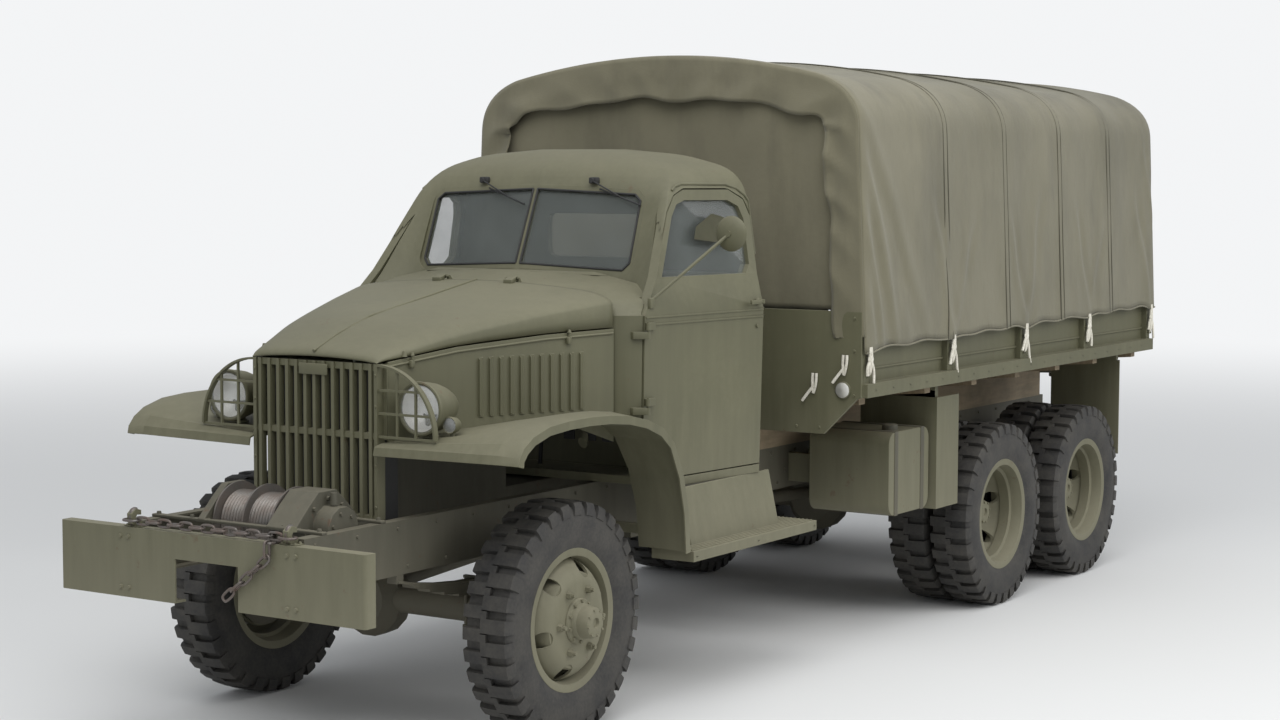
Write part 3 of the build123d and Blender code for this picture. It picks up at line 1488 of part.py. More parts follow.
# Propeller shafts
shaft_radius = 32.0
shaft_bite = 12.0  # the shafts are drawn this far into what they join, and cut back to it
with BuildPart() as prop_shafts:
    add(rod((front_diff_x, aft(diff_half_length - shaft_bite), axle_z + 30),
            (front_diff_x, aft(1500 + shaft_bite), 600), shaft_radius))
    add(rod((0, aft(1850 - shaft_bite), 600),
            (0, mid_axle_y - diff_half_length + shaft_bite, axle_z + 40), shaft_radius))
    add(rod((0, mid_axle_y + diff_half_length, axle_z + 20), (0, rear_axle_y - diff_half_length, axle_z + 20),
            shaft_radius))
    add(axles.part, mode=Mode.SUBTRACT)
    add(powertrain.part, mode=Mode.SUBTRACT)
prop_shafts.part.label = "prop_shafts"
export_step(prop_shafts.part, "parts/prop_shafts.step")

# Fuel tank on the left behind the cab, silencer on the right
with BuildPart() as fuel_tank:
    with BuildSketch(Plane.YZ.offset(600)):
        with Locations((aft(2610), 800)):
            RectangleRounded(430, 400, 60)
    extrude(amount=430)
    for strap_y in (aft(2490), aft(2690)):
        add(block(rail_outer_x, 600, strap_y, strap_y + 40, 720, 860))
fuel_tank.part.label = "fuel_tank"
export_step(fuel_tank.part, "parts/fuel_tank.step")

with BuildPart() as exhaust:
    add(rod((-250, aft(300), 660), (-250, aft(760), 655), 24))
    add(rod((-250, aft(745), 655), (-560, aft(960), 620), 24))
    add(rod((-560, aft(930), 620), (-560, aft(1480), 620), 82))
    add(rod((-560, aft(1480), 620), (-560, aft(1640), 620), 24))
    add(block(-572, -rail_outer_x, aft(1180), aft(1220), 694, 724))
exhaust.part.label = "exhaust"
export_step(exhaust.part, "parts/exhaust.step")

# Spare wheel under the body on the right
spare_x = -905.0
spare_y = aft(2350)
spare_z = 665.0
with BuildPart() as spare_tyre:
    add(tyre(spare_x, spare_y, spare_z))
spare_tyre.part.label = "spare_tyre"
export_step(spare_tyre.part, "parts/spare_tyre.step")

with BuildPart() as spare_wheel:
    add(rim_and_disc(spare_x, spare_y, 1, spare_z, holes=False))
    # Carrier from the rail to the disc
    add(block(-rail_outer_x, spare_x + disc_offset, spare_y - 40, spare_y + 40, 720, 790))
    add(many_sided(spare_x + disc_offset - 10, spare_x + disc_offset + 20, spare_y, spare_z, 170, 20))
spare_wheel.part.label = "spare_wheel"
export_step(spare_wheel.part, "parts/spare_wheel.step")

# Cargo body
body_front_y = aft(1975)
bulkhead_thickness = 22.0
body_rear_y = aft(5655)
floor_bottom = 1204.0
floor_top = 1240.0
sill_top = 1268.0
panel_top = 1600.0
panel_x = 1050.0
panel_thickness = 12.0
sill_outer_x = overall_width / 2
stake_outer_x = 1094.0
stake_width = 65.0
# Distances behind the front axle
stake_places = (2000.0, 2890.0, 3775.0, 4640.0, 5600.0)
long_sill_z = 1120.0
cross_sill_places = (2060.0, 2750.0, 3290.0, 3830.0, 4370.0, 4910.0, 5500.0)

# Tailgate hinges under its outer edge
gate_thickness = 36.0
gate_bottom = 1212.0
gate_rear_y = aft(wheelbase + bogie_spacing + rear_overhang)
gate_front_y = gate_rear_y - gate_thickness
gate_axis_y = gate_rear_y - 14
gate_axis_z = gate_bottom - 16
gate_pin_radius = 6.0
gate_ear_radius = 10.0
gate_eye_radius = 12.0
gate_eye_half = 25.0
gate_ear = 18.0
gate_hinge_places = (-760.0, 0.0, 760.0)

with BuildPart() as cargo_floor:
    add(block(-panel_x, panel_x, body_front_y + bulkhead_thickness, body_rear_y, floor_bottom, floor_top))
    for side in (-1, 1):
        add(block(side * (rail_outer_x - rail_flange), side * rail_outer_x, aft(2000), aft(5600), rail_top,
                  long_sill_z))
    for place in cross_sill_places:
        sill = (
            (-1040, floor_bottom), (1040, floor_bottom), (1040, floor_bottom - 40), (520, long_sill_z),
            (-520, long_sill_z), (-1040, floor_bottom - 40),
        )
        add(front_plate(sill, aft(place), aft(place + 60)))
    ear_foot = (
        (body_rear_y - 30, gate_axis_z - gate_ear_radius),
        (gate_axis_y, gate_axis_z - gate_ear_radius),
        (gate_axis_y, gate_axis_z + gate_ear_radius - 0.5),
        (body_rear_y - 30, gate_axis_z + gate_ear_radius - 0.5),
    )
    pin_reach = gate_eye_half + running_gap + gate_ear
    for hinge_x in gate_hinge_places:
        for ear_from in (hinge_x - pin_reach, hinge_x + gate_eye_half + running_gap):
            add(eye_plate(ear_from, ear_from + gate_ear, gate_axis_y, gate_axis_z, gate_ear_radius, ear_foot))
        add(rod((hinge_x - pin_reach, gate_axis_y, gate_axis_z), (hinge_x + pin_reach, gate_axis_y, gate_axis_z),
                gate_pin_radius))
cargo_floor.part.label = "cargo_floor"
export_step(cargo_floor.part, "parts/cargo_floor.step")

with BuildPart() as cargo_sides:
    bulkhead = (
        (-902, 1029), (902, 1029), (1073, 1200), (stake_outer_x, 1204), (stake_outer_x, panel_top),
        (-stake_outer_x, panel_top), (-stake_outer_x, 1204), (-1073, 1200),
    )
    add(front_plate(bulkhead, body_front_y, body_front_y + bulkhead_thickness))
    for side in (-1, 1):
        add(block(side * panel_x, side * sill_outer_x, body_front_y + bulkhead_thickness, body_rear_y,
                  floor_bottom, sill_top))
        add(block(side * panel_x, side * (panel_x + panel_thickness), body_front_y + bulkhead_thickness,
                  body_rear_y, floor_bottom, panel_top))
        add(block(side * panel_x, side * stake_outer_x, body_front_y + bulkhead_thickness, body_rear_y,
                  panel_top - 40, panel_top))
        for place in stake_places:
            add(block(side * panel_x, side * stake_outer_x, aft(place), aft(place + stake_width) if place < 5500
                      else body_rear_y, sill_top, panel_top))
cargo_sides.part.label = "cargo_sides"
export_step(cargo_sides.part, "parts/cargo_sides.step")

# Tailgate, hinged at its lower outer edge
with BuildPart() as tailgate:
    add(block(-panel_x + running_gap, panel_x - running_gap, gate_front_y, gate_front_y + 10, gate_bottom,
              panel_top))
    for rib_x in (-1038, -520, -28, 464, 982):
        add(block(rib_x, rib_x + 56, gate_front_y, gate_rear_y, gate_bottom, panel_top))
    for rib_z in (gate_bottom, panel_top - 40):
        add(block(-panel_x + running_gap, panel_x - running_gap, gate_front_y, gate_rear_y, rib_z, rib_z + 40))
    eye_foot = (
        (gate_axis_y - gate_eye_radius, gate_axis_z),
        (gate_axis_y + gate_eye_radius, gate_axis_z),
        (gate_axis_y + gate_eye_radius, gate_bottom + 1),
        (gate_axis_y - gate_eye_radius, gate_bottom + 1),
    )
    for hinge_x in gate_hinge_places:
        add(eye_plate(hinge_x - gate_eye_half, hinge_x + gate_eye_half, gate_axis_y, gate_axis_z, gate_eye_radius,
                      eye_foot))
        add(rod((hinge_x - 60, gate_axis_y, gate_axis_z), (hinge_x + 60, gate_axis_y, gate_axis_z),
                gate_pin_radius + pin_gap), mode=Mode.SUBTRACT)
tailgate.part.label = "tailgate"
export_step(tailgate.part, "parts/tailgate.step")

# Canvas cover on its bows. The section is given for the left half from the lower edge to the crown.
canvas_thickness = 10.0
canvas_front_y = aft(1985)
canvas_rear_y = aft(5690)
canvas_bottom_front = 1424.0
canvas_bottom_rear = 1476.0
# x and z of the section, the corner is an arc through its middle point
canvas_edge = (sill_outer_x, 1400.0)
canvas_side_top = (1072.0, 2440.0)
canvas_corner_middle = (1012.0, 2596.0)
canvas_corner_end = (846.0, 2694.0)
canvas_crown = (0.0, overall_height)


def cover_section(inset, bottom):
    """The cover's section as a solid along the load space, drawn in by inset."""
    edge_x = canvas_edge[0] - inset
    side_top = (canvas_side_top[0] - inset, canvas_side_top[1] - 0.1 * inset)
    corner_middle = (canvas_corner_middle[0] - 0.78 * inset, canvas_corner_middle[1] - 0.62 * inset)
    corner_end = (canvas_corner_end[0] - 0.3 * inset, canvas_corner_end[1] - 0.95 * inset)
    crown = (canvas_crown[0], canvas_crown[1] - inset)
    with BuildPart() as form:
        with BuildSketch(Plane.XZ.offset(-canvas_rear_y)):
            with BuildLine():
                Polyline((-side_top[0], side_top[1]), (-edge_x, bottom), (edge_x, bottom), side_top)
                ThreePointArc(side_top, corner_middle, corner_end)
                ThreePointArc(corner_end, crown, (-corner_end[0], corner_end[1]))
                ThreePointArc((-corner_end[0], corner_end[1]), (-corner_middle[0], corner_middle[1]),
                              (-side_top[0], side_top[1]))
            make_face()
        extrude(amount=canvas_rear_y - canvas_front_y)
    return form.part


cover_outside = cover_section(0, 1380)
cover_inside = cover_section(canvas_thickness, 1300)
hem_cut = side_plate(
    (
        (canvas_front_y - 10, 1200),
        (canvas_rear_y + 10, 1200),
        (canvas_rear_y + 10, canvas_bottom_rear),
        (canvas_front_y - 10, canvas_bottom_front),
    ),
    -1200,
    1200,
)
with BuildPart() as canvas_cover:
    add(cover_outside)
    add(cover_inside, mode=Mode.SUBTRACT)
    add(hem_cut, mode=Mode.SUBTRACT)
canvas_cover.part.label = "canvas_cover"
export_step(canvas_cover.part, "parts/canvas_cover.step")

bow_width = 50.0
bow_depth = 32.0
bow_places = (2030.0, 2850.0, 3550.0, 4265.0, 4965.0, 5615.0)
bow_outside = cover_section(canvas_thickness, 1300)
bow_inside = cover_section(canvas_thickness + bow_depth, 1200)
with BuildPart() as cover_bows:
    add(bow_outside)
    add(bow_inside, mode=Mode.SUBTRACT)
    slots = None
    for place in bow_places:
        piece = block(-1200, 1200, aft(place), aft(place + bow_width), panel_top, 2900)
        slots = piece if slots is None else slots + piece
    add(slots, mode=Mode.INTERSECT)
cover_bows.part.label = "cover_bows"
export_step(cover_bows.part, "parts/cover_bows.step")

# Front curtain of canvas and the rear curtain rolled up under the last bow
with BuildPart() as end_curtains:
    add(bow_outside)
    add(block(-1200, 1200, aft(2000), aft(2012), panel_top, 2900), mode=Mode.INTERSECT)
    add(rod((-860, aft(5640), 2585), (860, aft(5640), 2585), 58))
    for strap_x in (-520, 0, 520):
        add(block(strap_x - 20, strap_x + 20, aft(5630), aft(5650), 2600, overall_height))
    add(bow_outside, mode=Mode.INTERSECT)
    add(cover_bows.part, mode=Mode.SUBTRACT)
end_curtains.part.label = "end_curtains"
export_step(end_curtains.part, "parts/end_curtains.step")

# Splash guards before and behind the rear wheels
guard_sheet = 8.0
with BuildPart() as splash_guards:
    for side in (-1, 1):
        add(block(side * 640, side * 1060, aft(2850), aft(2850) + guard_sheet, 586, 1137))
        add(block(side * (1060 - guard_sheet), side * 1060, aft(2850), aft(3100), 586, 1137))
        add(block(side * 640, side * 1045, aft(2858), aft(2890), 1137, floor_bottom))
        add(block(side * 640, side * 1060, aft(5270), aft(5270) + guard_sheet, 618, 1162))
        add(block(side * 640, side * 1040, aft(5270), aft(5300), 1162, floor_bottom))
    add(cargo_floor.part, mode=Mode.SUBTRACT)
splash_guards.part.label = "splash_guards"
export_step(splash_guards.part, "parts/splash_guards.step")
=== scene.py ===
"""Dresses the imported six-wheel cargo truck: wheels, canvas, lamps, chain, trim and weathered paint."""

import json
import logging
import math
from dataclasses import dataclass
from enum import Enum
from typing import Any, Iterable, Sequence, Union

import bmesh
import bpy
from mathutils import Matrix, Vector, noise
from mathutils.bvhtree import BVHTree


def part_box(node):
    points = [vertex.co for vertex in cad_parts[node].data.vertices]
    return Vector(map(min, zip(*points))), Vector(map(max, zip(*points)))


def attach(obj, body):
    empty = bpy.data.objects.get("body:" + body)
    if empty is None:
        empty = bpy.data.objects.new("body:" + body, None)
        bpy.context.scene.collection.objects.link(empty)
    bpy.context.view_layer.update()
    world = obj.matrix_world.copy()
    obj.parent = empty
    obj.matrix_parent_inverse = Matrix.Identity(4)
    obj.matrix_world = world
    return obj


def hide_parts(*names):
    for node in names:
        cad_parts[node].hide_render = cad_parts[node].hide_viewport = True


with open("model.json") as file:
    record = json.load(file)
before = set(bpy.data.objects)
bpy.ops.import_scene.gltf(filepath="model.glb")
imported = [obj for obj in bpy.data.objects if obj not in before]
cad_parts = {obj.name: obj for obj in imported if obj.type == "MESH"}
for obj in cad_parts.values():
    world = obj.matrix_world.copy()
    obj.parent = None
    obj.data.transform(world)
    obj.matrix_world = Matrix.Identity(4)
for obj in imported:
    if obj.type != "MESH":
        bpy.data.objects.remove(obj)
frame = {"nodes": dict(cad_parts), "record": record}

LOG = logging.getLogger("cargo_truck")
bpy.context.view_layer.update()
TYRE_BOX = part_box("front_left_tyre")
FRONT_AXLE = (TYRE_BOX[0].y + TYRE_BOX[1].y) / 2
AXLE_HEIGHT = 472
NUT_CIRCLE = 133
NUT_TURN = 0.3
NOSE = -543
COWL = 515
LEFT = Vector((1, 0, 0))
AHEAD = Vector((0, -1, 0))
BACK = Vector((0, 1, 0))
UP = Vector((0, 0, 1))
SIDES = ((1, "left"), (-1, "right"))
Number = Union[int, float]
Pair = tuple[float, float]
Colour = tuple[float, float, float]


def mm(value: Number) -> float:
    """A length in metres, given in millimetres."""
    return value / 1000.0


def aft(place: Number) -> float:
    """The y of a place given in millimetres behind the front axle."""
    return FRONT_AXLE + mm(place)


def spot(across: Number, place: Number, height: Number) -> Vector:
    """A point in the truck's frame.

    Args:
        across: millimetres to the truck's left.
        place: millimetres behind the front axle.
        height: millimetres above the ground.

    Returns:
        The point in metres.
    """
    return Vector((mm(across), aft(place), mm(height)))


def shift(across: Number, back: Number, up: Number) -> Vector:
    """A move in metres, given in millimetres to the left, to the rear and up."""
    return Vector((mm(across), mm(back), mm(up)))


def outwards(side: int) -> Vector:
    """The direction to the truck's left for 1, to its right for -1."""
    return Vector((side, 0, 0))


class Body(Enum):
    """The rigid bodies that pieces ride on."""

    CHASSIS = "chassis"
    HOOD = "hood_body"
    LEFT_DOOR = "left_door_body"
    RIGHT_DOOR = "right_door_body"
    WINCH = "winch_drum_body"
    STEERING_WHEEL = "steering_wheel_body"
    TAILGATE = "tailgate_body"
    FRONT_LEFT = "front_left"
    FRONT_RIGHT = "front_right"
    MID_LEFT = "mid_left"
    MID_RIGHT = "mid_right"
    REAR_LEFT = "rear_left"
    REAR_RIGHT = "rear_right"


class Axis(Enum):
    """The axes of the truck's frame."""

    X = 0
    Y = 1
    Z = 2


class Value:
    """A shader socket that takes part in sums."""

    def __init__(self, bench: "Bench", socket: bpy.types.NodeSocket) -> None:
        """Wraps a socket of a bench's tree."""
        self.bench = bench
        self.socket = socket

    def _sum(self, operation: str, first: Any, second: Any) -> "Value":
        """Adds a Math node on two values or numbers and returns its result."""
        return self.bench.node("ShaderNodeMath", {"operation": operation}, {0: first, 1: second})

    def __add__(self, other: Any) -> "Value":
        """Adds."""
        return self._sum("ADD", self, other)

    def __sub__(self, other: Any) -> "Value":
        """Takes away."""
        return self._sum("SUBTRACT", self, other)

    def __rsub__(self, other: Any) -> "Value":
        """Takes away from a number."""
        return self._sum("SUBTRACT", other, self)

    def __mul__(self, other: Any) -> "Value":
        """Multiplies."""
        return self._sum("MULTIPLY", self, other)

    def clipped(self, low: float, high: float) -> "Value":
        """Maps low to 0 and high to 1 and holds it there."""
        return self.bench.node("ShaderNodeMapRange", {"clamp": True},
                               {"Value": self, "From Min": low, "From Max": high})


class Bench:
    """Builds the node tree of one material or world."""

    def __init__(self, name: str, world: bool = False) -> None:
        """Starts a material, or a world, with an empty tree."""
        self.made = (bpy.data.worlds if world else bpy.data.materials).new(name)
        self.made.use_nodes = True
        self.end = "ShaderNodeOutputWorld" if world else "ShaderNodeOutputMaterial"
        self.tree = self.made.node_tree
        self.tree.nodes.clear()

    def node(self, kind: str, settings: dict[str, Any], inputs: dict[Any, Any],
             output: Any = 0) -> Value:
        """Adds a node.

        Args:
            kind: the node's type.
            settings: its properties, set before its sockets.
            inputs: socket name or number to a number, colour or Value.
            output: the socket to return.

        Returns:
            The output as a Value.
        """
        made = self.tree.nodes.new(kind)
        for key, setting in settings.items():
            setattr(made, key, setting)
        for key, given in inputs.items():
            if isinstance(given, Value):
                self.tree.links.new(given.socket, made.inputs[key])
            elif isinstance(given, tuple) and made.inputs[key].type == "RGBA":
                made.inputs[key].default_value = (*given, 1.0)
            else:
                made.inputs[key].default_value = given
        return Value(self, made.outputs[output])

    def place(self, stretch: tuple[float, float, float] = (1.0, 1.0, 1.0)) -> Value:
        """The object's own coordinates in metres, stretched."""
        where = self.node("ShaderNodeTexCoord", {}, {}, "Object")
        return self.node("ShaderNodeMapping", {}, {"Vector": where, "Scale": stretch})

    def grain(self, scale: float, detail: float = 3.0,
              stretch: tuple[float, float, float] = (1.0, 1.0, 1.0)) -> Value:
        """Noise on the object's coordinates, scale in cycles per metre."""
        inputs = {"Vector": self.place(stretch), "Scale": scale, "Detail": detail, "Roughness": 0.6}
        return self.node("ShaderNodeTexNoise", {}, inputs, "Fac")

    def mix(self, mask: Any, low: Any, high: Any) -> Value:
        """A colour between two colours."""
        return self.node("ShaderNodeMix", {"data_type": "RGBA"}, {0: mask, 6: low, 7: high}, 2)

    def facing_up(self) -> Value:
        """How far the surface looks up, from -1 to 1."""
        normal = self.node("ShaderNodeNewGeometry", {}, {}, "Normal")
        return self.node("ShaderNodeSeparateXYZ", {}, {0: normal}, 2)

    def height(self) -> Value:
        """The height above the ground in metres."""
        return self.node("ShaderNodeSeparateXYZ", {}, {0: self.place()}, 2)

    def bump(self, height: Any, distance: float, strength: float = 1.0, below: Any = None) -> Value:
        """A Bump node on a height in 0..1, its depth in metres."""
        inputs: dict[Any, Any] = {"Strength": strength, "Distance": distance, "Height": height}
        if below is not None:
            inputs["Normal"] = below
        return self.node("ShaderNodeBump", {}, inputs)

    def close(self, **sockets: Any) -> bpy.types.Material:
        """Joins the sockets to a Principled shader and returns the material."""
        names = {key.replace("_", " "): given for key, given in sockets.items()}
        self.output(self.node("ShaderNodeBsdfPrincipled", {}, names))
        return self.made

    def output(self, shader: Value) -> None:
        """Joins a shader to the tree's output."""
        out = self.tree.nodes.new(self.end)
        self.tree.links.new(shader.socket, out.inputs["Surface"])


@dataclass(frozen=True)
class Paint:
    """Matte service paint with dust, dents and chips."""

    name: str
    base: Colour
    dusty: Colour = (0.30, 0.275, 0.20)
    rusty: Colour = (0.10, 0.045, 0.022)
    dust: float = 0.5
    chips: float = 0.35
    mud_height: float = 0.9
    roughness: float = 0.62

    def material(self) -> bpy.types.Material:
        """Makes the node tree of this paint."""
        bench = Bench(self.name)
        cloud = bench.grain(1.7, 4.0)
        fine = bench.grain(38.0, 5.0)
        streak = bench.grain(6.0, 4.0, (3.2, 3.2, 0.35))
        shade = bench.mix((cloud * 0.7 + streak * 0.45).clipped(0.35, 0.85), self.base,
                          tuple(part * 1.32 for part in self.base))
        settled = (bench.facing_up() * 0.55 + fine * 0.35 + cloud * 0.5).clipped(0.45, 1.25)
        splashed = (self.mud_height + 0.25 - bench.height() + streak * 0.5).clipped(0.15, 0.95)
        dirt = (settled * self.dust + splashed * (self.dust * 0.9)).clipped(0.0, 1.0)
        dulled = bench.mix(dirt, shade, self.dusty)
        chipped = (fine * 0.55 + bench.grain(9.0, 6.0) * 0.75).clipped(0.80, 0.86) * self.chips
        colour = bench.mix(chipped, dulled, self.rusty)
        rough = (cloud * 0.2 + dirt * 0.25 + (self.roughness - 0.1)).clipped(0.0, 1.0)
        dents = bench.bump(fine, 0.0006, 0.5, bench.bump(bench.grain(4.5, 2.0), 0.004, 0.5))
        return bench.close(Base_Color=colour, Roughness=rough, Normal=dents)


@dataclass(frozen=True)
class Canvas:
    """Heavy duck canvas: weave, faded folds and darker damp streaks."""

    name: str
    base: Colour
    faded: Colour
    damp: Colour

    def material(self) -> bpy.types.Material:
        """Makes the node tree of this cloth."""
        bench = Bench(self.name)
        cloud = bench.grain(1.1, 5.0)
        streak = bench.grain(5.0, 5.0, (1.0, 1.0, 0.22))
        crease = bench.grain(7.5, 5.0, (0.8, 1.0, 0.55))
        bleached = (cloud * 0.8 + bench.facing_up() * 0.25).clipped(0.3, 0.8)
        worn = bench.mix(bleached, self.base, self.faded)
        colour = bench.mix((streak * 0.8 + crease * 0.3).clipped(0.52, 0.86) * 0.6, worn, self.damp)
        across, upward = (bench.node("ShaderNodeTexWave", {"bands_direction": way},
                                     {"Vector": bench.place(), "Scale": 190.0}, 1) for way in "YZ")
        weave = bench.bump(across * 0.5 + upward * 0.5, 0.0005, 0.35)
        folds = bench.bump(crease * 0.6 + bench.grain(2.3, 4.0) * 0.7, 0.016, 0.55, weave)
        return bench.close(Base_Color=colour, Roughness=(cloud * 0.15 + 0.82), Normal=folds,
                           Sheen_Weight=0.15, Sheen_Roughness=0.6)


@dataclass(frozen=True)
class Rubber:
    """Tyre rubber with pale dust in its hollows."""

    name: str
    base: Colour = (0.022, 0.021, 0.02)
    dusty: Colour = (0.17, 0.155, 0.125)
    dust: float = 0.4

    def material(self) -> bpy.types.Material:
        """Makes the node tree of this rubber."""
        bench = Bench(self.name)
        cloud = bench.grain(7.0, 5.0)
        fine = bench.grain(70.0, 4.0)
        mask = (cloud * 0.7 + fine * 0.4).clipped(0.42, 0.88) * self.dust
        return bench.close(Base_Color=bench.mix(mask, self.base, self.dusty),
                           Roughness=(mask * 0.3 + 0.66), Normal=bench.bump(fine, 0.0009, 0.5))


@dataclass(frozen=True)
class Steel:
    """Bare or rusty iron."""

    name: str
    base: Colour = (0.16, 0.15, 0.14)
    rusty: Colour = (0.11, 0.05, 0.024)
    rust: float = 0.6
    metallic: float = 0.7

    def material(self) -> bpy.types.Material:
        """Makes the node tree of this steel."""
        bench = Bench(self.name)
        patch = bench.grain(16.0, 6.0)
        fine = bench.grain(120.0, 3.0)
        mask = (patch * 0.8 + fine * 0.3).clipped(0.40, 0.72) * self.rust
        return bench.close(Base_Color=bench.mix(mask, self.base, self.rusty),
                           Roughness=(mask * 0.35 + 0.42), Metallic=((1 - mask) * self.metallic),
                           Normal=bench.bump(fine, 0.0005, 0.6))


@dataclass(frozen=True)
class Pane:
    """Dusty clear glass."""

    name: str
    tint: Colour = (0.20, 0.22, 0.21)
    film: float = 0.10
    roughness: float = 0.04

    def material(self) -> bpy.types.Material:
        """Makes the node tree of this glass."""
        bench = Bench(self.name)
        film = bench.grain(5.0, 5.0).clipped(0.35, 0.9) * self.film
        return bench.close(Base_Color=self.tint, Roughness=(film * 1.6 + self.roughness),
                           Alpha=(film + 0.22), IOR=1.45, Specular_IOR_Level=0.7)


@dataclass(frozen=True)
class Plank:
    """Painted and scuffed boards, the grain along the truck or upright."""

    name: str
    base: Colour = (0.16, 0.125, 0.075)
    bare: Colour = (0.33, 0.26, 0.17)

    def material(self) -> bpy.types.Material:
        """Makes the node tree of this wood."""
        bench = Bench(self.name)
        fibre = bench.grain(60.0, 4.0, (1.0, 0.06, 0.5))
        patch = bench.grain(4.0, 5.0)
        colour = bench.mix((fibre * 0.5 + patch * 0.6).clipped(0.4, 0.8), self.base, self.bare)
        return bench.close(Base_Color=colour, Roughness=(fibre * 0.2 + 0.65),
                           Normal=bench.bump(fibre, 0.001, 0.6))


@dataclass(frozen=True)
class Cordage:
    """Pale laid rope."""

    name: str
    base: Colour = (0.72, 0.69, 0.6)
    dark: Colour = (0.42, 0.39, 0.31)

    def material(self) -> bpy.types.Material:
        """Makes the node tree of this rope."""
        bench = Bench(self.name)
        lay = bench.grain(90.0, 3.0)
        soil = bench.grain(14.0, 4.0)
        colour = bench.mix((lay * 0.5 + soil * 0.5).clipped(0.4, 0.75), self.base, self.dark)
        return bench.close(Base_Color=colour, Roughness=0.9, Normal=bench.bump(lay, 0.0012, 0.7),
                           Sheen_Weight=0.1)


class Finish(Enum):
    """Every finish on the truck."""

    OLIVE = Paint("olive_paint", (0.094, 0.091, 0.051), (0.27, 0.25, 0.18), dust=0.42)
    # The chassis paint is much darker than the olive: partly its own darker paint, partly painted shade of
    # the truck's shaded underside.
    CHASSIS = Paint("chassis_paint", (0.040, 0.039, 0.026), (0.20, 0.18, 0.13), dust=0.45, chips=0.5,
                    mud_height=1.0)
    CANVAS = Canvas("canvas", (0.135, 0.124, 0.076), (0.205, 0.188, 0.125), (0.062, 0.057, 0.035))
    SEAM = Canvas("canvas_seam", (0.062, 0.057, 0.034), (0.09, 0.082, 0.05), (0.04, 0.037, 0.022))
    TYRE = Rubber("rubber_tyre")
    BLACK = Rubber("black_rubber", (0.02, 0.02, 0.02), (0.1, 0.095, 0.08), 0.2)
    IRON = Steel("bare_steel")
    CABLE = Steel("cable_steel", (0.20, 0.19, 0.175), (0.12, 0.06, 0.03), 0.45, 0.8)
    BRIGHT = Steel("bright_steel", (0.62, 0.62, 0.6), (0.3, 0.26, 0.2), 0.15, 0.95)
    GLASS = Pane("window_glass")
    LENS = Pane("lens_glass", (0.92, 0.94, 0.93), 0.1, 0.08)
    REFLECTOR = Steel("reflector", (0.85, 0.84, 0.8), (0.5, 0.47, 0.4), 0.2, 0.9)
    DECK = Plank("deck_wood")
    SEAT = Canvas("seat_cloth", (0.13, 0.125, 0.075), (0.2, 0.19, 0.13), (0.07, 0.068, 0.04))
    ROPE = Cordage("tie_rope")


class Paintshop:
    """Keeps one material of each finish."""

    def __init__(self) -> None:
        """Starts empty."""
        self._made: dict[Finish, bpy.types.Material] = {}

    def material(self, finish: Finish) -> bpy.types.Material:
        """The material of a finish, made once."""
        if finish not in self._made:
            self._made[finish] = finish.value.material()
        return self._made[finish]


SHOP = Paintshop()
SLOTS = {
    Finish.SEAM: "canvas",
    Finish.ROPE: "canvas",
    Finish.CABLE: "bare_steel",
    Finish.BRIGHT: "bare_steel",
    Finish.IRON: "bare_steel",
    Finish.REFLECTOR: "lens_glass",
}


def mended(name: str) -> str:
    """The record's slot of a material name, or the record's first slot."""
    known = [slot["slot"] for slot in frame["record"].get("materials", [])]
    return name if name in known else known[0]


def linked(name: str, data: Any) -> bpy.types.Object:
    """A new object in the scene."""
    made = bpy.data.objects.new(name, data)
    bpy.context.scene.collection.objects.link(made)
    return made


def mesh_of(bm: bmesh.types.BMesh, name: str) -> bpy.types.Mesh:
    """Turns a working mesh into mesh data and frees it."""
    mesh = bpy.data.meshes.new(name)
    bm.to_mesh(mesh)
    bm.free()
    return mesh


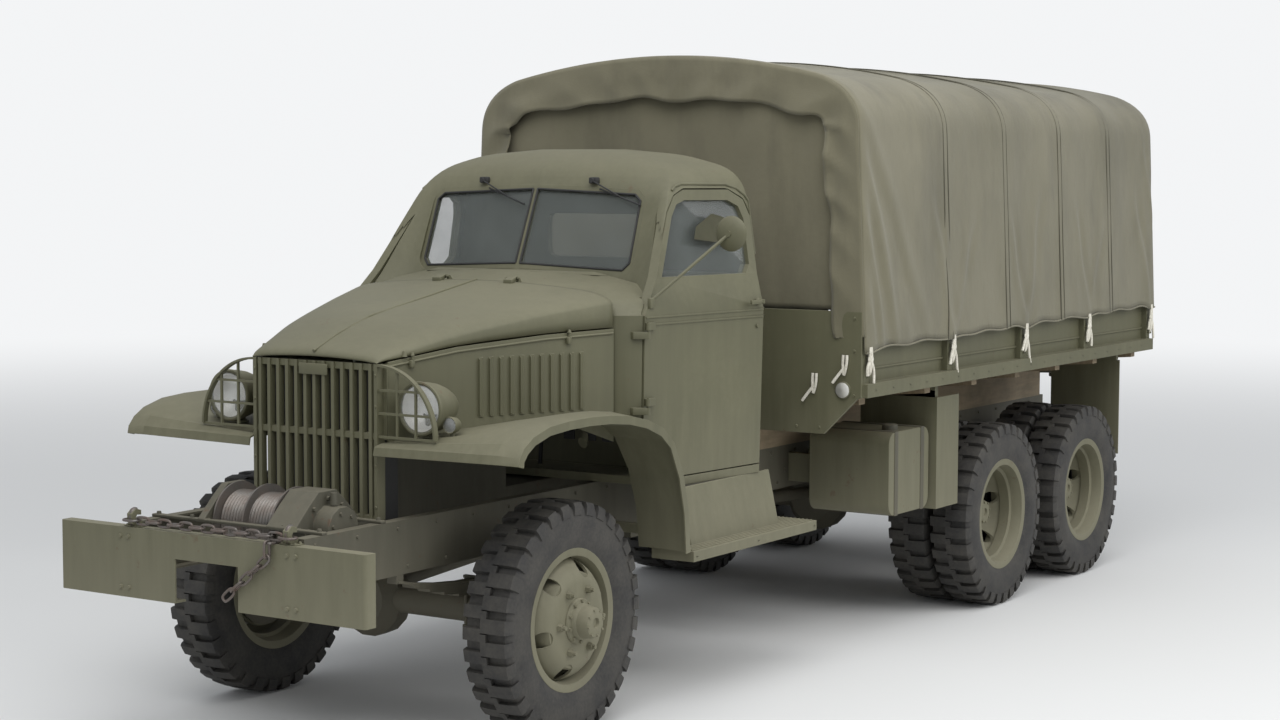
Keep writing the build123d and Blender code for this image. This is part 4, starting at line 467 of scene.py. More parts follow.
class Work:
    """One piece under construction: points in metres, sizes in millimetres."""

    def __init__(self) -> None:
        """Starts an empty mesh."""
        self.bm = bmesh.new()

    def _bevelled(self, verts: Iterable[bmesh.types.BMVert], width: float, segments: int) -> None:
        """Rounds every edge of the given vertices."""
        chosen = set(verts)
        edges = [edge for edge in self.bm.edges if edge.verts[0] in chosen and edge.verts[1] in chosen]
        bmesh.ops.bevel(self.bm, geom=edges, offset=mm(width), offset_type="OFFSET", segments=segments,
                        profile=0.5, affect="EDGES", material=-1, clamp_overlap=True)

    def grid(self, columns: int, rows: int) -> list[tuple[bmesh.types.BMVert, float, float]]:
        """Adds a grid and gives each vertex with its u from -1 to 1 and its v from 0 to 1."""
        made = bmesh.ops.create_grid(self.bm, x_segments=columns, y_segments=rows, size=0.5)["verts"]
        return [(vert, vert.co.x * 2, vert.co.y + 0.5) for vert in made]

    def block(self, low: Vector, high: Vector, bevel: float = 0.0, segments: int = 2) -> "Work":
        """Adds a box between two corners, with rounded edges."""
        size = high - low
        place = Matrix.Translation((low + high) / 2)
        place = place @ Matrix.Diagonal((abs(size.x), abs(size.y), abs(size.z), 1.0))
        made = bmesh.ops.create_cube(self.bm, size=1.0, matrix=place)["verts"]
        if bevel > 0:
            self._bevelled(made, bevel, segments)
        return self

    def rod(self, start: Vector, end: Vector, radius: float, steps: int = 16,
            tip: float | None = None) -> "Work":
        """Adds a round bar between two points, its far end of another radius if tip is given."""
        way = end - start
        place = Matrix.Translation((start + end) / 2) @ way.to_track_quat("Z", "Y").to_matrix().to_4x4()
        bmesh.ops.create_cone(self.bm, cap_ends=True, segments=steps, radius1=mm(radius),
                              radius2=mm(radius if tip is None else tip), depth=way.length, matrix=place)
        return self

    def turned(self, profile: Sequence[Pair], centre: Vector, along: Vector, steps: int = 48,
               closed: bool = False) -> "Work":
        """Adds a turned form.

        Args:
            profile: (distance along the axis, radius) pairs.
            centre: a point on the axis, from which the distances are read.
            along: the axis.
            steps: faces round it.
            closed: whether the last point joins the first.

        Returns:
            This piece.
        """
        axis = along.normalized()
        side = axis.orthogonal().normalized()
        ring = [self.bm.verts.new(centre + axis * mm(far) + side * mm(radius)) for far, radius in profile]
        pairs = list(zip(ring, ring[1:])) + ([(ring[-1], ring[0])] if closed else [])
        edges = [self.bm.edges.new(pair) for pair in pairs]
        bmesh.ops.spin(self.bm, geom=ring + edges, cent=centre, axis=axis, dvec=(0, 0, 0), angle=math.tau,
                       steps=steps, use_merge=True, use_duplicate=False)
        bmesh.ops.remove_doubles(self.bm, verts=self.bm.verts, dist=1e-5)
        return self

    def hexes(self, centre: Vector, along: Vector, circle: float, count: int, radius: float,
              depth: float, start: float = 0.0, steps: int = 6) -> "Work":
        """Adds a ring of bolt heads or nuts round an axis, the first at an angle in radians."""
        axis = along.normalized()
        side = axis.orthogonal().normalized()
        for index in range(count):
            turn = Matrix.Rotation(start + math.tau * index / count, 3, axis)
            foot = centre + turn @ side * mm(circle)
            self.rod(foot, foot + axis * mm(depth), radius, steps, radius * 0.86)
        return self

    def bolt(self, foot: Vector, along: Vector, radius: float, depth: float) -> "Work":
        """Adds one domed head that stands on a surface."""
        axis = along.normalized() * mm(depth)
        return self.rod(foot - axis * 0.4, foot + axis, radius, 8, radius * 0.7)

    def outline(self, points: Sequence[Vector], push: Vector, bevel: float = 0.0) -> "Work":
        """Adds a plate from its corner points, pushed to a thickness."""
        corners = [self.bm.verts.new(point) for point in points]
        face = self.bm.faces.new(corners)
        made = bmesh.ops.extrude_face_region(self.bm, geom=[face])["geom"]
        moved = [part for part in made if isinstance(part, bmesh.types.BMVert)]
        bmesh.ops.translate(self.bm, verts=moved, vec=push)
        if bevel > 0:
            self._bevelled(corners + moved, bevel, 2)
        return self

    def skin(self, rows: Sequence[Sequence[bmesh.types.BMVert]], closed: bool) -> None:
        """Joins rows of vertices with faces, each row a ring if closed."""
        count = len(rows[0])
        for lower, upper in zip(rows, rows[1:]):
            for here in range(count if closed else count - 1):
                there = (here + 1) % count
                self.bm.faces.new((lower[here], lower[there], upper[there], upper[here]))

    def mirrored(self) -> "Work":
        """Adds the other side of the truck's copy of everything so far."""
        geometry = self.bm.verts[:] + self.bm.edges[:] + self.bm.faces[:]
        copy = bmesh.ops.duplicate(self.bm, geom=geometry)["geom"]
        verts = [part for part in copy if isinstance(part, bmesh.types.BMVert)]
        faces = [part for part in copy if isinstance(part, bmesh.types.BMFace)]
        bmesh.ops.scale(self.bm, vec=(-1, 1, 1), verts=verts)
        bmesh.ops.reverse_faces(self.bm, faces=faces)
        return self

    def stock(self) -> bpy.types.Object:
        """Ends the piece as a throw-away object for joining and cutting."""
        bmesh.ops.recalc_face_normals(self.bm, faces=self.bm.faces)
        return linked("stock", mesh_of(self.bm, "stock"))

    def done(self, name: str, finish: Finish, body: Body = Body.CHASSIS, stands_for: Sequence[str] = (),
             smooth: float = 35.0, tidy: bool = True) -> bpy.types.Object:
        """Ends the piece.

        Args:
            name: the object's name.
            finish: its finish.
            body: the body that it rides on.
            stands_for: CAD nodes that it replaces.
            smooth: edges sharper than this many degrees stay sharp.
            tidy: whether its faces are turned outwards.

        Returns:
            The object, at the origin, its place in its mesh.
        """
        if tidy:
            bmesh.ops.recalc_face_normals(self.bm, faces=self.bm.faces)
        mesh = mesh_of(self.bm, name)
        mesh.shade_smooth()
        mesh.set_sharp_from_angle(angle=math.radians(smooth))
        return dress(linked(name, mesh), finish, body, stands_for)


def dress(piece: bpy.types.Object, finish: Finish, body: Body,
          stands_for: Sequence[str] = ()) -> bpy.types.Object:
    """Gives a piece its material and body."""
    piece.data.materials.clear()
    piece.data.materials.append(SHOP.material(finish))
    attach(piece, body.value)
    if stands_for:
        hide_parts(*stands_for)
    mended(SLOTS.get(finish, SHOP.material(finish).name))
    LOG.info("piece %s", piece.name)
    return piece


def strand(name: str, runs: Sequence[Sequence[Vector]], radius: float, finish: Finish,
           closed: bool = False) -> bpy.types.Object:
    """A rope, wire or rod on the chassis as a bevelled curve.

    Args:
        name: the object's name.
        runs: the points of each separate run, between which it bends smoothly.
        radius: half its thickness in millimetres.
        finish: its finish.
        closed: whether each run is a ring.

    Returns:
        The curve object.
    """
    curve = bpy.data.curves.new(name, "CURVE")
    curve.dimensions = "3D"
    curve.bevel_depth = mm(radius)
    curve.bevel_resolution = 3
    curve.resolution_u = 6
    curve.use_fill_caps = True
    for run in runs:
        spline = curve.splines.new("NURBS")
        spline.points.add(len(run) - 1)
        for point, where in zip(spline.points, run):
            point.co = (*where, 1.0)
        spline.use_cyclic_u = closed
        spline.order_u = 3
        spline.use_endpoint_u = not closed
    return dress(linked(name, curve), finish, Body.CHASSIS)


def thickened(piece: bpy.types.Object, thickness: float) -> None:
    """Gives a sheet its thickness in millimetres, inwards."""
    wall = piece.modifiers.new("thickness", "SOLIDIFY")
    wall.thickness = mm(thickness)
    wall.offset = -1


def rounded(points: Sequence[Vector], cuts: Sequence[Pair], closed: bool, steps: int = 5) -> list[Vector]:
    """Rounds the corners of a line.

    Args:
        points: its corners.
        cuts: for each corner, how many millimetres before and after it the rounding reaches.
        closed: whether the last corner joins the first.
        steps: points on each rounded corner.

    Returns:
        The line's points, the same number for the same number of corners.
    """
    made = []
    for index, corner in enumerate(points):
        if not closed and index in (0, len(points) - 1):
            made.append(corner.copy())
            continue
        before = points[index - 1] - corner
        after = points[(index + 1) % len(points)] - corner
        start = corner + before * min(0.48, mm(cuts[index][0]) / max(before.length, 1e-6))
        end = corner + after * min(0.48, mm(cuts[index][1]) / max(after.length, 1e-6))
        for step in range(steps):
            made.append(curved(start, corner, end, step / (steps - 1)))
    return made


def curved(start: Vector, pull: Vector, end: Vector, part: float) -> Vector:
    """A point of a quadratic curve, part of the way from its start to its end."""
    return start * (1 - part) ** 2 + pull * 2 * part * (1 - part) + end * part**2


def solid_through(rings: Sequence[Sequence[Vector]]) -> bpy.types.Object:
    """A closed stock object through rings with equal counts."""
    work = Work()
    rows = [[work.bm.verts.new(point) for point in ring] for ring in rings]
    work.skin(rows, True)
    work.bm.faces.new(rows[0][::-1])
    work.bm.faces.new(rows[-1])
    bmesh.ops.remove_doubles(work.bm, verts=work.bm.verts, dist=1e-6)
    bmesh.ops.dissolve_degenerate(work.bm, edges=work.bm.edges, dist=1e-6)
    return work.stock()


def combined(base: bpy.types.Object, tools: Sequence[tuple[str, bpy.types.Object]]) -> bpy.types.Object:
    """Joins, cuts or keeps a stock object with others, one after another, and drops them."""
    for operation, tool in tools:
        step = base.modifiers.new("step", "BOOLEAN")
        step.operation = operation
        step.object = tool
        step.solver = "EXACT"
        bpy.context.view_layer.update()
        seen = base.evaluated_get(bpy.context.evaluated_depsgraph_get())
        mesh = bpy.data.meshes.new_from_object(seen)
        base.modifiers.clear()
        base.data = mesh
        bpy.data.objects.remove(tool)
    return base


@dataclass(frozen=True)
class MilitaryTyre:
    """A cross-ply tyre with staggered bars that wrap onto both shoulders."""

    radius: float = 472.0
    root: float = 453.0
    lugs: int = 33
    columns: int = 8
    bar_columns: int = 5
    bar_taper: float = 0.86
    shoulder: Sequence[Pair] = ((84, 257), (88, 270), (90, 284), (98, 300), (104, 322), (107, 350),
                                (107, 372), (105, 392), (102, 414), (98, 437), (90, 450))

    def add_to(self, work: Work, across: float, place: float, height: float) -> None:
        """Adds one tyre to a piece.

        Args:
            work: the piece.
            across: the tyre's middle, millimetres to the left.
            place: its axle, millimetres behind the front axle.
            height: its axle's height in millimetres.
        """
        bm = bmesh.new()
        pitch = math.tau / self.lugs
        half = [*self.shoulder, (56, self.root), (13, self.root)]
        profile = [(-across, radius) for across, radius in half] + half[::-1]
        ring = [bm.verts.new((mm(x), 0, -mm(r))) for x, r in profile]
        edges = [bm.edges.new(pair) for pair in zip(ring, ring[1:])]
        about = {"cent": (0, 0, 0), "axis": (1, 0, 0), "dvec": (0, 0, 0), "use_merge": False}
        bmesh.ops.spin(bm, geom=ring + edges, angle=pitch, steps=self.columns, use_duplicate=False, **about)
        bm.faces.ensure_lookup_table()
        for side, first in ((1, 0), (-1, 3)):
            self._bar(bm, side, first, pitch)
        segment = bm.verts[:] + bm.edges[:] + bm.faces[:]
        bmesh.ops.spin(bm, geom=segment, angle=pitch * (self.lugs - 1), steps=self.lugs - 1,
                       use_duplicate=True, **about)
        bmesh.ops.remove_doubles(bm, verts=bm.verts, dist=2e-5)
        bmesh.ops.recalc_face_normals(bm, faces=bm.faces)
        bmesh.ops.translate(bm, verts=bm.verts, vec=spot(across, place, height))
        keep = mesh_of(bm, "tyre_stock")
        work.bm.from_mesh(keep)
        bpy.data.meshes.remove(keep)

    def _bar(self, bm: bmesh.types.BMesh, side: int, first: int, pitch: float) -> None:
        """Raises one bar of a pitch on one side of the tread, from its first column on."""
        chosen = []
        for face in bm.faces:
            middle = face.calc_center_median()
            angle = math.atan2(-middle.y, -middle.z) % math.tau
            column = int(min(angle, math.tau - angle) / pitch * self.columns)
            across = middle.x * side * 1000
            radius = math.hypot(middle.y, middle.z) * 1000
            if first <= column < first + self.bar_columns and -14 < across < 103 and 418 < radius < 456:
                chosen.append(face)
        grown = bmesh.ops.extrude_face_region(bm, geom=chosen)["geom"]
        moved = [part for part in grown if isinstance(part, bmesh.types.BMVert)]
        bmesh.ops.delete(bm, geom=chosen, context="FACES_ONLY")
        middle_turn = pitch * (first + self.bar_columns / 2) / self.columns
        for vert in moved:
            radius, reach = self._raised(abs(vert.co.x) * 1000)
            angle = math.atan2(abs(vert.co.y), -vert.co.z)
            angle = middle_turn + (angle - middle_turn) * self.bar_taper
            vert.co.x = math.copysign(mm(reach), vert.co.x)
            vert.co.y = (1 if vert.co.y > 0 else -1) * mm(radius) * math.sin(angle)
            vert.co.z = -mm(radius) * math.cos(angle)

    def _raised(self, across: float) -> Pair:
        """The radius and the distance across of a bar's point, from its distance across below."""
        if across > 100:
            return 417, 107
        if across > 94:
            return 452, 105.5
        if across > 80:
            return self.radius - 5, 98
        return self.radius, across


@dataclass(frozen=True)
class SteelWheel:
    """A pressed disc wheel with hand holes and wheel nuts."""

    nut_face: float = 118.0
    holes: int = 6
    first_hole: float = 0.22
    hole_circle: float = 207.0
    hole_radius: float = 33.0
    rim: Sequence[Pair] = (
        (92, 285), (87, 289), (84.5, 284), (84, 262), (70, 256), (32, 251), (22, 238), (-22, 238),
        (-32, 251), (-70, 256), (-84, 262), (-84.5, 284), (-87, 289), (-92, 285), (-92, 276), (-88, 255),
        (-66, 248), (-34, 243), (-26, 229), (26, 229), (34, 243), (66, 248), (88, 255), (92, 276),
    )
    disc: Sequence[Pair] = (
        (20, 247.5), (34, 246), (52, 238), (76, 224), (97, 205), (110, 186), (117, 166), (118, 150),
        (118, 78), (108, 78), (108, 150), (107, 162), (101, 180), (89, 198), (70, 215), (48, 229),
        (32, 236), (20, 238),
    )

    def add_to(self, work: Work, across: float, place: float, outward: int, nuts: bool) -> None:
        """Adds one wheel, without its hub, to a piece, its dish towards a side."""
        centre = spot(across, place, AXLE_HEIGHT)
        way = outwards(outward)
        work.turned(self.rim, centre, way, 56, True)
        plate = Work().turned(self.disc, centre, way, 60, True).stock()
        drill = Work()
        for index in range(self.holes):
            turn = math.tau * (index + self.first_hole) / self.holes
            middle = centre + Vector((0, math.cos(turn), math.sin(turn))) * mm(self.hole_circle)
            drill.rod(middle - way * 0.2, middle + way * 0.2, self.hole_radius, 20)
        combined(plate, [("DIFFERENCE", drill.stock())])
        work.bm.from_mesh(plate.data)
        bpy.data.objects.remove(plate)
        if nuts:
            face = centre + way * mm(self.nut_face)
            for radius, depth, steps in ((17, 20, 6), (10, 34, 8)):
                work.hexes(face, way, NUT_CIRCLE, 6, radius, depth, NUT_TURN, steps)


@dataclass(frozen=True)
class Hub:
    """A driven hub: drum behind, bolted flange and cap in front, from the truck's middle."""

    face: float
    drum_from: float
    tip: float
    nuts: bool

    def add_to(self, work: Work, place: float, side: int) -> None:
        """Adds the hub and its drum to a piece."""
        centre = spot(0, place, AXLE_HEIGHT)
        way = outwards(side)
        face, back, tip = self.face, self.drum_from, self.tip
        drum = [(back, 181), (back, 195), (back + 12, 198), (back + 24, 195), (face - 24, 195),
                (face - 10, 188), (face - 10, 90), (face - 22, 90), (face - 22, 180)]
        work.turned(drum, centre, way, 48, True)
        cap = [(back + 6, 40), (back + 6, 74), (face - 30, 88), (face + 4, 92), (face + 10, 88),
               (face + 14, 74), (face + 30, 70), (face + 34, 66), (tip - 14, 62), (tip - 4, 56), (tip, 44),
               (tip, 22), (tip - 10, 18), (tip - 10, 0.5)]
        work.turned(cap, centre, way, 40)
        work.hexes(centre + way * mm(face + 9), way, 81, 10, 8, 11, 0.1)
        work.hexes(centre + way * mm(tip - 6), way, 52, 8, 6, 9, 0.2)
        if self.nuts:
            work.hexes(centre + way * mm(face), way, NUT_CIRCLE, 6, 16, 24, NUT_TURN)


@dataclass(frozen=True)
class Running:
    """All ten road wheels and the spare tyre."""

    axles: Sequence[tuple[str, float]] = (("front", 0), ("mid", 3607), ("rear", 4725))
    front_track: float = 765
    outer: float = 990
    inner: float = 754
    spare: tuple[float, float, float] = (-905, 2350, 665)
    tyre: MilitaryTyre = MilitaryTyre()
    wheel: SteelWheel = SteelWheel()
    front_hub: Hub = Hub(883, 760, 967, False)
    twin_hub: Hub = Hub(882, 621, 985, True)

    def build(self) -> None:
        """Builds tyres and wheels for every axle end."""
        for side, word in SIDES:
            for axle, place in self.axles:
                self._end(side, word, axle, place)
        rubber = Work()
        self.tyre.add_to(rubber, *self.spare)
        rubber.done("tyre_spare", Finish.TYRE, Body.CHASSIS, ("spare_tyre",), 40, False)

    def _end(self, side: int, word: str, axle: str, place: float) -> None:
        """Builds the tyres, discs and hub at one end of an axle."""
        twin = axle != "front"
        many = "s" if twin else ""
        body = Body[f"{axle}_{word}".upper()]
        rubber = Work()
        for across in (self.outer, self.inner) if twin else (self.front_track,):
            self.tyre.add_to(rubber, side * across, place, AXLE_HEIGHT)
        rubber.done(f"tyre{many}_{axle}_{word}", Finish.TYRE, body, (f"{axle}_{word}_tyre{many}",), 40, False)
        steel = Work()
        if twin:
            self.wheel.add_to(steel, side * self.outer, place, -side, False)
            self.wheel.add_to(steel, side * self.inner, place, side, False)
            self.twin_hub.add_to(steel, place, side)
        else:
            self.wheel.add_to(steel, side * self.front_track, place, side, True)
            self.front_hub.add_to(steel, place, side)
        steel.done(f"wheel{many}_{axle}_{word}", Finish.OLIVE, body, (f"{axle}_{word}_wheel{many}",))


@dataclass(frozen=True)
class Fold:
    """A crease of the side wall: a ridge with a valley beside it, from one point to another.

    Points are millimetres behind the cover's front edge, and height.
    """

    start: Pair
    end: Pair
    width: float
    depth: float

    def push(self, place: float, height: float) -> float:
        """The outward push at a point of the wall, in millimetres."""
        run, rise = self.end[0] - self.start[0], self.end[1] - self.start[1]
        length = math.hypot(run, rise)
        along = ((place - self.start[0]) * run + (height - self.start[1]) * rise) / length**2
        off = ((place - self.start[0]) * rise - (height - self.start[1]) * run) / length
        off = (off + 14 * math.sin(7 * along + self.width)) / self.width
        fade = max(0.0, min(1.0, (along + 0.12) * 4)) * max(0.0, min(1.0, (1.15 - along) * 3))
        return self.depth * fade * (math.exp(-off * off) - 1.25 * math.exp(-((off - 1.35) ** 2)))


@dataclass(frozen=True)
class Cover:
    """The canvas over the bows: ridges, sag between them, a scalloped hem and sewn seams."""

    front: float = 1985.0
    rear: float = 5688.0
    bows: tuple[float, ...] = (2030.0, 2875.0, 3575.0, 4290.0, 4990.0, 5640.0)
    edge: Pair = (1116.0, 1400.0)
    side_top: Pair = (1071.0, 2440.0)
    corner: Pair = (1012.0, 2595.0)
    corner_end: Pair = (846.0, 2693.0)
    crown: float = 2792.0
    bend_length: float = 385.0
    roof_length: float = 852.0
    wall_share: float = 0.45
    fold_share: float = 0.62
    roof_sag: float = 26
    wall_sag: float = 8
    pressed_high: float = -15.0
    pressed_low: float = -10.0
    hem_front: float = 1424
    hem_rise: float = 40
    hem_across: float = 1112
    stakes: tuple[float, ...] = (2000.0, 2920.0, 3805.0, 4670.0, 5620.0)
    roll_at: Pair = (5625, 2583)
    straps: tuple[float, ...] = (-520, 0, 520)
    folds: tuple[Fold, ...] = (
        Fold((25.0, 2400.0), (330.0, 1424.0), 42.0, 15.0),
        Fold((10.0, 2180.0), (170.0, 1424.0), 34.0, 12.0),
        Fold((30.0, 2560.0), (640.0, 1500.0), 55.0, 10.0),
        Fold((20.0, 1900.0), (90.0, 1424.0), 26.0, 9.0),
        Fold((930.0, 1424.0), (760.0, 2050.0), 38.0, 8.0),
        Fold((950.0, 1424.0), (1180.0, 1980.0), 40.0, 8.0),
        Fold((1810.0, 1424.0), (1640.0, 1960.0), 36.0, 7.0),
        Fold((1830.0, 1424.0), (2020.0, 2080.0), 40.0, 8.0),
        Fold((2680.0, 1424.0), (2520.0, 1990.0), 36.0, 7.0),
        Fold((2700.0, 1424.0), (2890.0, 1930.0), 36.0, 7.0),
        Fold((3620.0, 1424.0), (3420.0, 2060.0), 40.0, 8.0),
        Fold((3690.0, 1900.0), (3560.0, 2420.0), 34.0, 7.0),
    )

    def folded(self, place: float, height: float) -> float:
        """How far the folds push the side wall out, in millimetres."""
        return sum(fold.push(place - self.front, height) for fold in self.folds)

    def off_bows(self, place: float) -> float:
        """0 on a bow, where the cloth can't be pressed in, and 1 between two bows."""
        return 1 - max(math.exp(-(((place - bow) / 60.0) ** 2)) for bow in self.bows)

    def hem(self, place: float) -> float:
        """The hem's height in millimetres, drawn down at each tie."""
        share = (place - self.front) / (self.rear - self.front)
        drawn = max(math.exp(-(((place - stake) / 90.0) ** 2)) for stake in self.stakes)
        return self.hem_front + self.hem_rise * share - 14 * drawn + 6 * math.sin(place / 57.0)

    def sag(self, place: float) -> float:
        """How far the cloth has dropped between two bows, from 0 on a bow to 1 midway."""
        for before, after in zip(self.bows, self.bows[1:]):
            if before <= place <= after:
                share = (place - before) / (after - before)
                return (4 * share * (1 - share)) ** 0.75
        return 0.0

    def section(self, share: float) -> tuple[float, float, float, float]:
        """A point of the section.

        Args:
            share: 0 at the lower edge of one side, 1 at the crown.

        Returns:
            Across and height in millimetres, and the outward direction.
        """
        wall_length = math.hypot(self.edge[0] - self.side_top[0], self.side_top[1] - self.edge[1])
        run = share * (wall_length + self.bend_length + self.roof_length)
        if run <= wall_length:
            part = run / wall_length
            return (self.edge[0] + (self.side_top[0] - self.edge[0]) * part,
                    self.edge[1] + (self.side_top[1] - self.edge[1]) * part, 0.999, 0.04)
        if run <= wall_length + self.bend_length:
            part = (run - wall_length) / self.bend_length
            low, mid, high = Vector(self.side_top), Vector(self.corner), Vector(self.corner_end)
            point = curved(low, 2 * mid - (low + high) / 2, high, part)
            turn = math.radians(8 + 66 * part)
            return point.x, point.y, math.cos(turn), math.sin(turn)
        part = (run - wall_length - self.bend_length) / self.roof_length
        height = self.crown - (self.crown - self.corner_end[1]) * (1 - part) ** 2
        turn = math.radians(76 + 14 * part)
        return self.corner_end[0] * (1 - part), height, math.cos(turn), math.sin(turn)

    def hung(self, share: float, height: float, low: float) -> float:
        """A height of the section, stretched so that the wall ends at a lower edge."""
        if share >= self.wall_share:
            return height
        top = self.side_top[1]
        return top - (top - height) * ((top - low) / (top - self.edge[1]))

    def cloth(self) -> Work:
        """The sheet as a grid laid over the bows."""
        work = Work()
        for vert, u, v in work.grid(120, 200):
            place = self.front + v * (self.rear - self.front)
            share = 1 - abs(u)
            across, height, out_x, out_z = self.section(share)
            drop = self.sag(place)
            fold = noise.noise(Vector((u * 5.0, place / 420.0, 3.1)))
            crease = noise.noise(Vector((u * 2.2 + 9, place / 130.0, 7.7)))
            top = max(0.0, (share - 0.55) / 0.45)
            wall = max(0.0, 1 - share / 0.5)
            push = -drop * (self.roof_sag * min(1.0, top * 1.6) + self.wall_sag)
            push = min(push + fold * 7 * (0.4 + drop) + crease * 4 * (0.3 + wall), 0.0)
            if share < self.fold_share:
                wave = self.folded(place, height) * min(1.0, (self.fold_share - share) * 8)
                wave = wave if wave > 0 else wave * self.off_bows(place)
                push = max(push + wave, self.pressed_high if height > 1700 else self.pressed_low)
            height = self.hung(share, height, self.hem(place))
            end = min(place - self.front, self.rear - place)
            push -= max(0.0, 1 - end / 60.0) ** 2 * 8
            side = 1 if u >= 0 else -1
            vert.co = spot(side * (across + out_x * push), place, height + out_z * push)
        return work

    def build(self) -> None:
        """Makes the cover, its seams and hem, its front wall and lip and the rolled rear curtain."""
        cover = self.cloth().done("canvas_cover_sheet", Finish.CANVAS, Body.CHASSIS, ("canvas_cover",), 75)
        thickened(cover, 4)
        self._seams()
        self._hem_rope()
        self._front_wall()
        self._lip()
        self._roll()

    def _seams(self) -> None:
        """Sewn bands over the bows, as narrow strips just proud of the cloth."""
        runs = []
        for bow in self.bows[1:-1]:
            for place in (bow - 22, bow + 22):
                run = []
                for step in range(61):
                    u = -1 + step / 30
                    share = 1 - abs(u)
                    across, height, out_x, out_z = self.section(share)
                    height = self.hung(share, height, self.hem(bow))
                    proud = self.folded(place, height) if share < 0.49 else 0.0
                    side = 1 if u >= 0 else -1
                    run.append(spot(side * (across - out_x + proud), place, height - out_z))
                runs.append(run)
        strand("cover_seams", runs, 3.2, Finish.SEAM)

    def _hem_rope(self) -> None:
        """The rope that is sewn into the hem."""
        runs = []
        for side in (-1, 1):
            places = [self.front + 6 + (self.rear - self.front - 12) * step / 74 for step in range(75)]
            runs.append([spot(side * self.hem_across, place, self.hem(place) + 2) for place in places])
        strand("cover_hem_rope", runs, 4.5, Finish.CANVAS)

    def _front_wall(self) -> None:
        """The cloth end wall behind the cab."""
        low, half = 1602.0, 1085.0
        work = Work()
        for vert, u, v in work.grid(64, 40):
            height = low + (self._lid(abs(half * u)) - low) * v
            wave = noise.noise(Vector((u * 4, v * 3, 1.3))) * 9 + 5 * math.sin(u * 21) * (1 - v)
            push = min(12.0, max(-10.0, 8 * (1 - abs(u)) + wave))
            vert.co = spot(half * u * (1 - 0.02 * v), 2012 + push, height)
        wall = work.done("front_curtain", Finish.CANVAS, Body.CHASSIS, ("end_curtains",), 75)
        thickened(wall, 3)

    def _lip(self) -> None:
        """The gathered lip of canvas round the front wall."""
        work = Work()
        for vert, u, v in work.grid(200, 10):
            share = 1 - abs(u)
            side = 1 if u >= 0 else -1
            across, height, out_x, out_z = self.section(max(0.02, share))
            height = self.hung(share, height, 1440.0)
            depth = (150 + 60 * share + 9 * math.sin(u * 23) + 7 * math.sin(u * 41)) * v + 7
            gather = math.exp(-(((share - 0.42) / 0.16) ** 2))
            slant = u * 58 + 5 * v * side
            pleat = (10 + 12 * gather) * (abs(math.sin(slant / 2 + 1.2 * math.sin(u * 9))) - 0.62) * v
            pleat += (8 + 9 * gather) * noise.noise(Vector((u * 9, v * 2, 5))) * (0.3 + v)
            vert.co = spot(side * (across - out_x * depth), 1983 - 10 * v + min(pleat, 11.0),
                           height - out_z * depth)
        lip = work.done("cover_front_lip", Finish.CANVAS, Body.CHASSIS, (), 75)
        thickened(lip, 3)

    def _lid(self, across: float) -> float:
        """The height of the cover over a distance from the middle, less a little."""
        points = [self.section(step / 200) for step in range(201)]
        heights = [height for reach, height, _, _ in points if reach >= across]
        return (heights[-1] if heights else 1700.0) - 16

    def _roll(self) -> None:
        """The rear curtain, rolled up and strapped under the last bow."""
        place, height = self.roll_at
        work = Work()
        profile = []
        for step in range(41):
            along = -858 + 1716 * step / 40
            drawn = max(math.exp(-(((along - strap) / 30.0) ** 2)) for strap in self.straps)
            profile.append((along, 57 - 5 * drawn + 2 * math.sin(along / 37)))
        work.turned([(profile[0][0], 0.8), *profile, (profile[-1][0], 0.8)], spot(0, place, height), LEFT, 28)
        work.done("rear_curtain_roll", Finish.CANVAS, Body.CHASSIS, (), 60)
        straps = Work()
        for across in self.straps:
            straps.block(spot(across - 16, place - 3, 2640),
                         spot(across + 16, place + 3, 2722 if across else 2748), 1)
            straps.turned([(-15, 55.5), (15, 55.5), (15, 58), (-15, 58)], spot(across, place, height), LEFT,
                          28, True)
        straps.done("rear_curtain_straps", Finish.SEAT)


